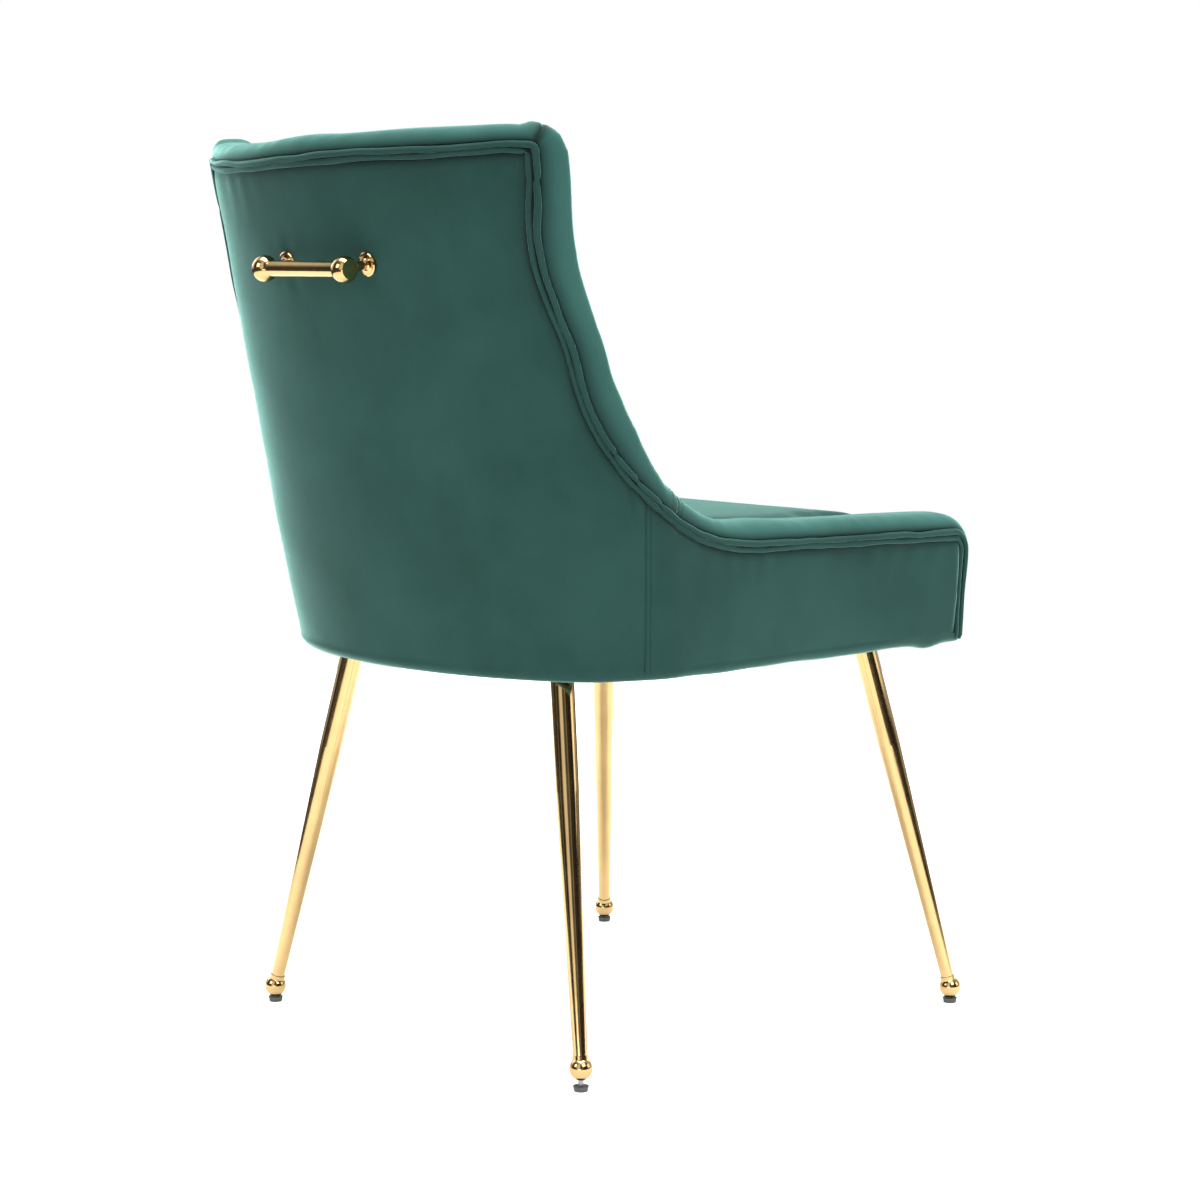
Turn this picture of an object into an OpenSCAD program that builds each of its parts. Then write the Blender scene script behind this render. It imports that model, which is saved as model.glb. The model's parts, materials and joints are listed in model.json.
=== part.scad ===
// Upholstered dining chair: a curved padded back that sweeps down into low arms,
// four splayed metal legs with ball feet and screw-in glides, and a bar pull on the back.
// X is the width, -Y is the front, +Z is up. Z = 0 is the floor.

/* [Shell] */
// Width over the shell sides at seat-frame height
shell_w = 490; // [460:1:520]
// How much each side moves out for every millimetre of height
side_flare = 0.073; // [0:0.001:0.1]
// How much each side moves out for every millimetre towards the front
side_splay = 0.024; // [0:0.001:0.06]
// Depth of the rounded rear part of the shell
round_depth = 150; // [110:1:180]
// Outer face of the back at its middle, at seat-frame height
back_y = 217; // [200:1:235]
// How much the back leans out for every millimetre of height
back_lean = 0.176; // [0.12:0.001:0.22]
// Front end of the sides
front_y = -310; // [-320:1:-295]
// Lower edge of the covers
shell_bottom_z = 367; // [350:1:380]
// Upper edge of the back at its corners
back_top_z = 841; // [800:1:870]
// Drop of the upper edge at the middle of the back
top_sag = 4; // [0:0.5:10]
// Half the width of the back along its upper edge
top_half_w = 229; // [215:1:240]
// Height of the arm edge at the front
arm_z = 477; // [460:1:490]
// Rise of the arm edge for every millimetre towards the back
arm_rise = 0.027; // [0:0.001:0.05]
// Lean of the side edge of the back
edge_lean = 0.253; // [0.2:0.001:0.3]
// How far the side edge of the back bows in at its middle
edge_bow = 9; // [0:0.5:12]
// Radius of the sweep from the back into the arm
sweep_r = 212; // [150:1:230]
// Radius of the front corner of the arm
corner_r = 22; // [12:1:30]

/* [Upholstery] */
// Thickness of the padded walls
wall_t = 48; // [42:1:54]
// Height of the soft roll along the arms; it is higher on the back
roll_h = 17; // [8:1:20]
// Thickness of the cover fabric
cover_t = 1.6; // [1:0.1:2]
// Diameter of one cord of the double welt
welt_d = 5; // [4:0.5:6]
// Height of the seat at its edges
seat_edge_z = 476; // [468:1:482]
// Height of the crown of the seat
seat_crown_z = 502; // [494:1:508]

/* [Frame] */
// Thickness of the moulded plywood shell
ply_t = 9; // [7:0.5:10]
// Thickness of the seat board
board_t = 12; // [9:0.5:15]
// Height of the seat rails
rail_h = 32; // [24:1:34]
// Thickness of the seat rails
rail_t = 28; // [22:1:30]

/* [Legs] */
// Distance between the two front feet
front_feet_w = 500; // [480:1:510]
// Distance between the two rear feet
rear_feet_w = 446; // [430:1:460]
// Front feet position
front_feet_y = -308; // [-312:1:-295]
// Rear feet position
rear_feet_y = 177; // [165:1:185]
// How far each leg moves in and towards the middle over its height, at the front
front_splay = [72.5, 71.5];
// How far each leg moves in and towards the middle over its height, at the rear
rear_splay = [83, 52];
// Diameter of the upper part of a leg
leg_d = 22; // [18:0.5:24]
// Diameter of a leg at its ball
leg_foot_d = 13; // [12:0.5:16]
// Height at which the taper of a leg starts
taper_z = 262; // [200:1:300]
// Wall of the leg tube
leg_wall = 1.2; // [0.8:0.1:2]
// Diameter of the ball feet
ball_d = 21.4; // [18:0.2:24]

/* [Glides] */
// Height of a glide pad
pad_h = 4.7; // [4:0.1:8]
// Diameter of a pad at the floor
pad_floor_d = 12; // [10:0.5:14]
// Diameter of a pad under the ball
pad_top_d = 14.4; // [12:0.1:16]
// Diameter of the threaded studs
stud_d = 5; // [4:0.5:6]
// How far the rear right glide is turned out
turned_out = 4.8; // [0:0.1:5]

/* [Handle] */
// Distance between the two posts
handle_span = 114; // [100:1:130]
// Height of the posts on the back
handle_z = 739; // [700:1:760]
// Distance from the back to the middle of the bar
standoff = 27; // [24:0.5:34]
// Diameter of the bar
bar_d = 14.5; // [10:0.5:16]
// Diameter of the ball ends
bar_ball_d = 24.4; // [20:0.2:26]
// Diameter of the posts
post_d = 8.5; // [6:0.5:10]
// Diameter of the rosettes
rosette_d = 22; // [18:0.5:26]

/* [Hidden] */
$fn = 64;

VELVET = [0.20, 0.36, 0.33];
VELVET_DARK = [0.15, 0.28, 0.26];
FOAM = [0.93, 0.86, 0.62];
WOOD = [0.78, 0.62, 0.42];
GOLD = [0.83, 0.68, 0.44];
ZINC = [0.72, 0.73, 0.75];
RUBBER = [0.2, 0.2, 0.2];
LEFT = 1;
RIGHT = -1;
gap = 0.4;

// ---- The outer surface of the shell --------------------------------------------------------
// A place on it is [p, z]: p runs in millimetres round the plan, 0 where the straight side
// meets the rounded back, quarter_len at the middle of the back, negative towards the front.
// d is the distance inwards from the outer face. Points are on the +X half.
ref_z = shell_bottom_z;
quarter_len = (shell_w / 2 + round_depth) * PI / 4 * 1.02;
function half_w(z) = shell_w / 2 + side_flare * (z - ref_z);
function round_y(z) = back_y + back_lean * (z - ref_z) - round_depth;
function turn(p) = 90 * p / quarter_len;
function face_at(p, z, d) = p > 0
    ? [(half_w(z) - d) * cos(turn(p)), round_y(z) + (round_depth - d) * sin(turn(p)), z]
    : [half_w(z) - d - side_splay * p, round_y(z) + p, z];
// The plan coordinate of the side at the depth y and height z
function plan_at(y, z) = y > round_y(z)
    ? quarter_len * asin((y - round_y(z)) / round_depth) / 90
    : y - round_y(z);

// ---- The edge of the shell, from the middle of the back to the front corner ----------------
top_p = quarter_len * acos(top_half_w / half_w(back_top_z)) / 90;
top_y = face_at(top_p, back_top_z, 0).y;
edge_angle = atan(1 / edge_lean);
arm_angle = atan(arm_rise);
// Where the line of the side edge and the line of the arm would cross
cross_z = (arm_z + arm_rise * (top_y - back_top_z * edge_lean - front_y)) / (1 - arm_rise * edge_lean);
cross_y = top_y - edge_lean * (back_top_z - cross_z);
corner_turn = edge_angle - arm_angle;
sweep_reach = sweep_r / tan((180 - corner_turn) / 2);
function edge_line(t) = [cross_y + t * cos(edge_angle), cross_z + t * sin(edge_angle)];
sweep_centre = edge_line(sweep_reach) + sweep_r * [-sin(edge_angle), cos(edge_angle)];
function sweep(a) = sweep_centre + sweep_r * [sin(a), -cos(a)];
edge_top_t = norm([top_y - cross_y, back_top_z - cross_z]);
arm_front = [front_y + corner_r, arm_z + arm_rise * corner_r];
corner_centre = arm_front - [0, corner_r];
arm_back = sweep(arm_angle);
seam_angle = 45;
TOP_N = 9;
SIDE_N = 6;
SWEEP_N = 6;
ARM_N = 4;
CORNER_N = 4;
FRONT_N = 2;
side_profile = concat(
    [for (i = [1:SIDE_N]) edge_line(edge_top_t + (sweep_reach - edge_top_t) * i / SIDE_N)
        + edge_bow * pow(sin(180 * i / SIDE_N), 2) * [sin(edge_angle), -cos(edge_angle)]],
    [for (i = [1:SWEEP_N]) sweep(edge_angle + (seam_angle - edge_angle) * i / SWEEP_N)],
    [for (i = [1:SWEEP_N]) sweep(seam_angle + (arm_angle - seam_angle) * i / SWEEP_N)],
    [for (i = [1:ARM_N]) arm_back + (arm_front - arm_back) * i / ARM_N],
    [for (i = [1:CORNER_N]) corner_centre
        + corner_r * [-sin(90 * i / CORNER_N), cos(90 * i / CORNER_N)]],
    [for (i = [1:FRONT_N]) [front_y,
        corner_centre.y + (shell_bottom_z - corner_centre.y) * i / FRONT_N]]);
edge = concat(
    [for (i = [0:TOP_N]) let (f = i / TOP_N)
        [quarter_len + (top_p - quarter_len) * f, back_top_z - top_sag * (1 - f * f)]],
    [for (q = side_profile) [plan_at(q.x, q.y), q.y]]);
LAST = len(edge) - 1;
FRONT_TOP = LAST - FRONT_N;
SEAM = TOP_N + SIDE_N + SWEEP_N;

// Outward direction along the surface, square to the edge, at edge point i
function edge_out(i) = i == 0
    ? [0, 1]
    : let (t = edge[min(i + 1, LAST)] - edge[i - 1]) [t.y, -t.x] / norm(t);
// Edge point i moved k outwards along the surface and d inwards through the wall, on side s
function at_edge(i, k, d, s) = let (q = edge[i] + k * edge_out(i), v = face_at(q.x, q.y, d))
    [s * v.x, v.y, v.z];

// Foot of column i on the lower edge: the columns fan out from the lower edge to the edge
foot_stops = [quarter_len, 172, 98, 53, -95, -345, front_y - round_y(shell_bottom_z)];
edge_stops = [0, TOP_N, TOP_N + SIDE_N, SEAM, SEAM + SWEEP_N, SEAM + SWEEP_N + ARM_N, FRONT_TOP];
function foot_p(i) = lookup(i, [for (k = [0:len(edge_stops) - 1]) [edge_stops[k], foot_stops[k]]]);
// A point of column i: v = 0 at the height z0 and 1 at the edge, which is inset by k
function column(i, v, z0, k, d, s) = let (
        top = edge[i] - k * edge_out(i),
        foot = foot_p(i) - k * edge_out(i).x,
        low = [foot + (top.x - foot) * (z0 - ref_z) / (top.y - ref_z), z0],
        q = low + (top - low) * v,
        w = face_at(q.x, q.y, d)) [s * w.x, w.y, w.z];

// ---- Solids from grids of points -----------------------------------------------------------
function flat(rows) = [for (row = rows) for (q = row) q];
// A closed solid between two grids of the same size
module sheet(outer, inner) {
    r = len(outer);
    c = len(outer[0]);
    n = r * c;
    function tri(a, b, e, f) = [[a, b, e], [a, e, f]];
    faces = concat(
        [for (j = [0:r - 2]) for (i = [0:c - 2]) each
            tri(j * c + i, j * c + i + 1, (j + 1) * c + i + 1, (j + 1) * c + i)],
        [for (j = [0:r - 2]) for (i = [0:c - 2]) each
            tri(n + j * c + i, n + (j + 1) * c + i, n + (j + 1) * c + i + 1, n + j * c + i + 1)],
        [for (i = [0:c - 2]) each tri(i, n + i, n + i + 1, i + 1)],
        [for (i = [0:c - 2]) each
            tri((r - 1) * c + i + 1, n + (r - 1) * c + i + 1, n + (r - 1) * c + i, (r - 1) * c + i)],
        [for (j = [0:r - 2]) each tri((j + 1) * c, n + (j + 1) * c, n + j * c, j * c)],
        [for (j = [0:r - 2]) each
            tri(j * c + c - 1, n + j * c + c - 1, n + (j + 1) * c + c - 1, (j + 1) * c + c - 1)]);
    polyhedron(points = concat(flat(outer), flat(inner)), faces = faces);
}
// A closed solid through loops of points, each end closed by a fan about its middle
function middle(loop) = [for (k = [0:2]) [for (q = loop) q[k]] * [for (q = loop) 1 / len(loop)]];
module loft(loops) {
    m = len(loops[0]);
    n = len(loops);
    faces = concat(
        [for (i = [0:m - 1]) [n * m, (i + 1) % m, i]],
        [for (j = [0:n - 2]) for (i = [0:m - 1]) each let (a = j * m + i, b = j * m + (i + 1) % m)
            [[a, b, b + m], [a, b + m, a + m]]],
        [for (i = [0:m - 1]) [n * m + 1, (n - 1) * m + i, (n - 1) * m + (i + 1) % m]]);
    polyhedron(points = concat(flat(loops), [middle(loops[0]), middle(loops[n - 1])]), faces = faces);
}

// Edge points on both sides in one run, from the left front to the right front
function run(last, first = 0) = concat(
    [for (i = [last:-1:max(first, 1)]) [i, LEFT]],
    [for (i = [first:last]) [i, RIGHT]]);

// A part of the wall between the depths d0 and d1, along the edge points in cols
WALL_ROWS = 5;
module wall(cols, d0, d1, z0, inset) {
    sheet([for (j = [0:WALL_ROWS]) [for (q = cols) column(q[0], j / WALL_ROWS, z0, inset, d0, q[1])]],
        [for (j = [0:WALL_ROWS]) [for (q = cols) column(q[0], j / WALL_ROWS, z0, inset, d1, q[1])]]);
}
// Height of the soft edge roll at the fraction f across the wall. It is fullest on the side edges
// of the back and lowest down the front of the arm.
ROLL_ROWS = 6;
fullness = [[0, 1.15], [TOP_N, 1.45], [TOP_N + 1, 1.85], [TOP_N + SIDE_N, 2.2], [SEAM - 2, 2.2], [SEAM, 1.6],
    [SEAM + 2, 1.2], [SEAM + SWEEP_N, 1], [FRONT_TOP - CORNER_N, 0.95], [FRONT_TOP, 0.45]];
function roll(f, h, i) = h * pow(max(0, 1 - pow(abs(2 * f - 1), 3)), 0.6) * lookup(i, fullness);
// Rows of points over the edge of the wall, its faces inset by side_gap: k0 above it, plus a roll
function roll_rows(k0, h, side_gap) = [for (j = [0:ROLL_ROWS]) [for (q = run(LAST))
    at_edge(q[0], k0 + roll(j / ROLL_ROWS, h, q[0]),
        side_gap + (wall_t - 2 * side_gap) * j / ROLL_ROWS, q[1])]];
// A round cord along the edge at the height k and depth d
CORD_SIDES = 8;
module cord(k, d) {
    loft([for (q = run(LAST)) [for (a = [0:CORD_SIDES - 1])
        at_edge(q[0], k + welt_d / 2 * cos(360 * a / CORD_SIDES),
            d + welt_d / 2 * sin(360 * a / CORD_SIDES), q[1])]]);
}

// ---- Wooden frame --------------------------------------------------------------------------
cover_gap = cover_t + gap;
ply_in = cover_gap + ply_t;
rail_top = shell_bottom_z + 4 + rail_h;
board_top = rail_top + board_t;
// Plan outline at the depth d inside the shell, from p0 to p1 on one side
OUTLINE_N = 14;
function plan_arc(p0, p1, d, s) = [for (i = [0:OUTLINE_N])
    let (v = face_at(p0 + (p1 - p0) * i / OUTLINE_N, ref_z, d)) [s * v.x, v.y]];
front_p = front_y - round_y(ref_z);
// The whole outline, from the left front round the back to the right front
SIDE_STEPS = 6;
function plan_loop(d, front_in, z = ref_z) = let (
        side = [for (i = [0:SIDE_STEPS - 1]) (front_p + front_in) * (1 - i / SIDE_STEPS)],
        back = [for (i = [0:OUTLINE_N - 1]) quarter_len * i / OUTLINE_N],
        half = [for (p = concat(side, back)) face_at(p, z, d)])
    concat([for (v = half) [v.x, v.y]], [[0, face_at(quarter_len, z, d).y]],
        [for (i = [len(half) - 1:-1:0]) [-half[i].x, half[i].y]]);

module moulded_shell() {
    color(WOOD) wall(run(FRONT_TOP), cover_gap, ply_in, shell_bottom_z + 4, roll_inset);
}
module seat_board() {
    inset = ply_in + gap;
    color(WOOD) translate([0, 0, rail_top + gap]) linear_extrude(board_t - 2 * gap) difference() {
        polygon(plan_loop(inset, 6));
        circle(d = 30);
    }
}
module rail(p0, p1, side) {
    color(WOOD) translate([0, 0, rail_top - rail_h]) linear_extrude(rail_h) polygon(concat(
        plan_arc(p0, p1, ply_in + gap, side),
        plan_arc(p1, p0, ply_in + gap + rail_t, side)));
}
rail_joint_p = 20;
module front_rail() {
    half = face_at(front_p + 6 + rail_t, ref_z, ply_in + rail_t + 2 * gap).x;
    color(WOOD) translate([-half, front_y + 6, rail_top - rail_h]) cube([2 * half, rail_t, rail_h]);
}
// The curved rear rail, notched from below for the two rear leg plates
module rear_rail() {
    notch = plate_w + 2 * gap;
    color(WOOD) difference() {
        translate([0, 0, rail_top - rail_h]) linear_extrude(rail_h) polygon(concat(
            plan_arc(rail_joint_p + gap, quarter_len, ply_in + gap, LEFT),
            plan_arc(quarter_len, rail_joint_p + gap, ply_in + gap, RIGHT),
            plan_arc(rail_joint_p + gap, quarter_len, ply_in + gap + rail_t, RIGHT),
            plan_arc(quarter_len, rail_joint_p + gap, ply_in + gap + rail_t, LEFT)));
        for (leg = [RL, RR]) translate(leg_at(leg, plate_z) - [notch / 2, notch / 2, rail_h])
            cube([notch, notch, rail_h + plate_t + gap]);
    }
}
module side_rail_left() { rail(front_p + 6, rail_joint_p - gap, LEFT); }
module side_rail_right() { rail(front_p + 6, rail_joint_p - gap, RIGHT); }

// ---- Legs ----------------------------------------------------------------------------------
block_t = 18;
plate_t = 3;
plate_w = 56;
plate_hole = 20;
plate_z = rail_top - block_t - plate_t;
screw_d = 4;
splay_h = 392.3;
ball_floor_z = pad_h + 0.3 + ball_d / 2;
ball_collar = ball_d / 2 + 0.8;
// [x side, is it a front leg, height of the ball]
FL = [LEFT, true, ball_floor_z];
FR = [RIGHT, true, ball_floor_z];
RL = [LEFT, false, ball_floor_z];
RR = [RIGHT, false, ball_floor_z + turned_out];
LEGS = [FL, FR, RL, RR];
function foot(leg) = [leg[0] * (leg[1] ? front_feet_w : rear_feet_w) / 2,
    leg[1] ? front_feet_y : rear_feet_y, leg[2]];
function leg_dir(leg) = let (s = leg[1] ? front_splay : rear_splay, v = [-leg[0] * s.x,
    (leg[1] ? 1 : -1) * s.y, splay_h]) v / norm(v);
// The point where the axis of a leg is at the height z
function leg_at(leg, z) = foot(leg) + leg_dir(leg) * (z - leg[2]) / leg_dir(leg).z;
// Moves the floor-level frame of a leg onto its ball, with +Z along the leg
module on_leg(leg) {
    v = leg_dir(leg);
    translate(foot(leg)) rotate([0, acos(v.z), atan2(v.y, v.x)]) children();
}
seam_turn = 90;
module leg(leg) {
    len = (plate_z - leg[2]) / leg_dir(leg).z;
    taper = (taper_z - leg[2]) / leg_dir(leg).z;
    r = leg_d / 2;
    rf = leg_foot_d / 2;
    color(GOLD) difference() {
        on_leg(leg) rotate([0, 0, seam_turn]) rotate_extrude() polygon([
            [rf - leg_wall, ball_collar], [rf, ball_collar], [r, taper], [r, len + r],
            [r - leg_wall, len + r], [r - leg_wall, taper]]);
        translate(leg_at(leg, plate_z) - [leg_d, leg_d, 0]) cube(2 * leg_d);
    }
}
module ball(leg) {
    color(GOLD) difference() {
        on_leg(leg) rotate_extrude() intersection() {
            union() {
                circle(d = ball_d);
                square([leg_foot_d / 2 + 1, ball_collar]);
            }
            translate([0, -ball_d]) square([ball_d, 2 * ball_d]);
        }
        translate(foot(leg)) cylinder(d = stud_d + 0.1, h = 2 * ball_d, center = true);
    }
}
module plate_holes(leg, r, h) {
    for (x = [-1, 1]) for (y = [-1, 1])
        translate(leg_at(leg, plate_z) + [x * plate_hole, y * plate_hole, -1]) cylinder(r = r, h = h);
}
module plate(leg) {
    color(ZINC) difference() {
        translate(leg_at(leg, plate_z) - [plate_w / 2, plate_w / 2, 0])
            cube([plate_w, plate_w, plate_t]);
        plate_holes(leg, screw_d / 2 + 0.25, 3 * plate_t);
    }
}
module leg_blocks() {
    size = plate_w + 8;
    color(WOOD) for (leg = LEGS) difference() {
        intersection() {
            translate(leg_at(leg, plate_z) + [-size / 2, -size / 2, plate_t])
                cube([size, size, block_t]);
            translate([0, 0, plate_z]) linear_extrude(2 * block_t)
                polygon(plan_loop(ply_in + rail_t + 2 * gap, 6 + rail_t + gap));
        }
        plate_holes(leg, screw_d / 2 + 0.1, plate_t + block_t);
    }
}
module leg_screws() {
    length = plate_t + block_t - 4;
    head_h = 1.8;
    color(ZINC) for (leg = LEGS) for (x = [-1, 1]) for (y = [-1, 1])
        translate(leg_at(leg, plate_z) + [x * plate_hole, y * plate_hole, -head_h - 0.1]) {
            cylinder(d = 2 * screw_d, h = head_h);
            cylinder(d = screw_d, h = head_h + length);
        }
}

// ---- Glides --------------------------------------------------------------------------------
pad_socket = 3;
stud_h = 20;
module stud(leg) {
    out = leg[2] - ball_floor_z;
    color(ZINC) translate([foot(leg).x, foot(leg).y, pad_h - pad_socket + 0.05])
        cylinder(d = stud_d, h = stud_h + out / 2);
}
module pad(leg) {
    color(RUBBER) translate([foot(leg).x, foot(leg).y, 0]) difference() {
        cylinder(d1 = pad_floor_d, d2 = pad_top_d, h = pad_h);
        translate([0, 0, pad_h - pad_socket]) cylinder(d = stud_d + 0.1, h = pad_h);
    }
}

// ---- Soft parts ----------------------------------------------------------------------------
// The foam inside the shell, with a pocket behind the handle for its block, screws and washers
pocket_depth = 20;
module wall_pad() {
    color(FOAM) difference() {
        wall(run(FRONT_TOP), ply_in + gap, wall_t - cover_gap, board_top + gap, roll_inset);
        on_back(LEFT) translate([-handle_span - block_end - gap, -block_h / 2 - gap, -block_in - pocket_depth])
            cube([handle_span + 2 * block_end + 2 * gap, block_h + 2 * gap, 1.5 * pocket_depth]);
    }
}
roll_inset = 3.5;
module edge_roll() {
    color(FOAM) sheet(roll_rows(0.5, roll_h - 3, roll_inset), roll_rows(-1.5, 0, roll_inset));
}
module boxing_band() {
    color(VELVET) sheet(roll_rows(gap + cover_t, roll_h - 1, 0.2), roll_rows(gap, roll_h - 1, 0.2));
}
module outer_back_cover() { color(VELVET_DARK) wall(run(SEAM), 0, cover_t, shell_bottom_z, 0); }
module side_cover(side) {
    color(VELVET) wall([for (i = [SEAM:FRONT_TOP]) [i, side]], 0, cover_t, shell_bottom_z, 0);
}
module side_cover_left() { mirror([1, 0, 0]) side_cover(RIGHT); }
module side_cover_right() { side_cover(RIGHT); }
module inner_back_cover() {
    color(VELVET) wall(run(FRONT_TOP), wall_t - cover_t, wall_t, seat_edge_z - 30, 0);
}

// The seat fills the space inside the walls: rings about its middle, crowned on top
SEAT_RINGS = 6;
seat_mid = [0, -60];
seat_d = wall_t + 4;
function seat_ring(s, d, z) = [for (q = plan_loop(d, 4 + d - seat_d, min(z, seat_edge_z)))
    let (r = seat_mid + s * (q - seat_mid)) [r.x, r.y, z]];
// The crowned top as rings from the edge inwards, lowered by drop
function seat_top(d, drop) = [for (k = [0:SEAT_RINGS]) let (s = 1 - k / (SEAT_RINGS + 1))
    seat_ring(s, d, seat_edge_z - drop + (seat_crown_z - seat_edge_z) * (1 - pow(s, 2.6)))];
function reverse(list) = [for (i = [len(list) - 1:-1:0]) list[i]];
module seat_foam() {
    d = seat_d + cover_gap;
    color(FOAM) loft(concat([seat_ring(1, d, board_top + gap)], seat_top(d, cover_gap)));
}
module seat_cover() { color(VELVET) loft(concat(reverse(seat_top(seat_d, cover_t)), seat_top(seat_d, 0))); }
module front_border() {
    half = face_at(front_p, seat_edge_z, wall_t).x - 4;
    bottom = shell_bottom_z;
    color(VELVET) translate([-half, front_y - 6, bottom])
        cube([2 * half, cover_t, seat_edge_z - bottom]);
}
module dust_cover() {
    color([0.1, 0.1, 0.1]) translate([0, 0, shell_bottom_z + 1.5]) linear_extrude(1) difference() {
        polygon(plan_loop(cover_gap, 2));
        for (leg = LEGS) translate([leg_at(leg, shell_bottom_z + 2).x, leg_at(leg, shell_bottom_z + 2).y])
            circle(d = leg_d + 3);
    }
}
// The double welt lies on the outer face, one cord along the edge and one inside it
cord_d = -welt_d / 2 - gap;
module inner_welt() { color(VELVET) cord(-welt_d / 2, cord_d); }
module outer_welt() { color(VELVET) cord(-1.5 * welt_d - gap, cord_d); }

// ---- Handle --------------------------------------------------------------------------------
lean_angle = atan(back_lean);
// Places its children on the outer face of the back at one post, with +Z out of the back
module on_back(side) {
    p = quarter_len * acos(handle_span / 2 / half_w(handle_z)) / 90;
    v = face_at(p, handle_z, 0);
    translate([side * handle_span / 2, v.y, v.z]) rotate([-90 - lean_angle, 0, 0]) children();
}
module handle_bar() {
    half = handle_span / 2 - bar_ball_d / 2 + 1.6;
    color(GOLD) on_back(LEFT) translate([-handle_span / 2, 0, standoff]) rotate([0, 90, 0])
        cylinder(d = bar_d, h = 2 * half, center = true);
}
ball_face = 9;
ball_reach = sqrt(pow(bar_ball_d / 2, 2) - pow(ball_face, 2));
module handle_ball(side) {
    socket = bar_ball_d / 2 - 1.6;
    color(GOLD) on_back(side) translate([0, 0, standoff]) difference() {
        rotate([0, side * 90, 0]) rotate_extrude() intersection() {
            circle(d = bar_ball_d);
            translate([0, -bar_ball_d]) square([bar_ball_d, bar_ball_d + ball_reach]);
        }
        translate([-side * (socket + bar_ball_d), 0, 0]) rotate([0, side * 90, 0])
            cylinder(d = bar_d, h = bar_ball_d);
        translate([0, 0, -bar_ball_d]) cylinder(d = post_d - 2, h = bar_ball_d - 6);
    }
}
module handle_post(side) {
    rosette_h = 5;
    color(GOLD) on_back(side) rotate_extrude() difference() {
        union() {
            translate([0, rosette_h]) square([post_d / 2, standoff - bar_ball_d / 2 - rosette_h - 0.5]);
            translate([0, rosette_h]) square([post_d / 2 - 1, standoff - 6 - rosette_h]);
        }
        square([2.6, standoff - 14]);
    }
}
// The underside of each rosette is cut to the slant of the curved back
back_slant = atan(round_depth * handle_span / 2 / pow(half_w(handle_z), 2));
module handle_rosette(side) {
    r = rosette_d / 2;
    color(GOLD) on_back(side) difference() {
        rotate_extrude() polygon([[2.8, -4], [r, -4], [r, 1.6], [r - 1.2, 2.4], [r - 3, 2.6],
            [post_d / 2 + 1.6, 3.4], [post_d / 2 + 0.6, 4.9], [2.8, 4.9]]);
        translate([0, 0, gap]) rotate([0, side * back_slant, 0]) translate([-rosette_d, -rosette_d, -rosette_d])
            cube([2 * rosette_d, 2 * rosette_d, rosette_d]);
    }
}
block_in = ply_in + gap;
block_end = 15;
block_h = 40;
module handle_block() {
    color(WOOD) difference() {
        on_back(LEFT) translate([-handle_span - block_end, -block_h / 2, -block_in - 14])
            cube([handle_span + 2 * block_end, block_h, 12]);
        for (side = [LEFT, RIGHT]) on_back(side) translate([0, 0, -60]) cylinder(r = 2.8, h = 60);
    }
}
module handle_screws() {
    color(ZINC) for (side = [LEFT, RIGHT]) on_back(side) {
        translate([0, 0, -block_in - 16]) cylinder(d = 5, h = block_in + 16 + 12);
        translate([0, 0, -block_in - 19]) cylinder(d = 9, h = 3);
    }
}
module handle_washers() {
    color(ZINC) for (side = [LEFT, RIGHT]) on_back(side) translate([0, 0, -block_in - 15.5])
        difference() {
            cylinder(d = 14, h = 1.2);
            translate([0, 0, -1]) cylinder(d = 5.4, h = 4);
        }
}

moulded_shell();
seat_board();
front_rail();
rear_rail();
side_rail_left();
side_rail_right();
leg_blocks();
handle_block();
wall_pad();
edge_roll();
seat_foam();
outer_back_cover();
side_cover_left();
side_cover_right();
boxing_band();
inner_back_cover();
seat_cover();
front_border();
dust_cover();
outer_welt();
inner_welt();
leg(FL);  // leg_front_left
leg(FR);  // leg_front_right
leg(RL);  // leg_rear_left
leg(RR);  // leg_rear_right
ball(FL);  // ball_front_left
ball(FR);  // ball_front_right
ball(RL);  // ball_rear_left
ball(RR);  // ball_rear_right
plate(FL);  // plate_front_left
plate(FR);  // plate_front_right
plate(RL);  // plate_rear_left
plate(RR);  // plate_rear_right
leg_screws();
stud(FL);  // stud_front_left
stud(FR);  // stud_front_right
stud(RL);  // stud_rear_left
stud(RR);  // stud_rear_right
pad(FL);  // pad_front_left
pad(FR);  // pad_front_right
pad(RL);  // pad_rear_left
pad(RR);  // pad_rear_right
handle_bar();
handle_ball(LEFT);  // handle_ball_left
handle_ball(RIGHT);  // handle_ball_right
handle_post(LEFT);  // handle_post_left
handle_post(RIGHT);  // handle_post_right
handle_rosette(LEFT);  // handle_rosette_left
handle_rosette(RIGHT);  // handle_rosette_right
handle_screws();
handle_washers();
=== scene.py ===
"""Velvet dining chair: the looks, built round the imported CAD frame. Metres, +Z up, front towards -Y."""
import json
import math

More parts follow.
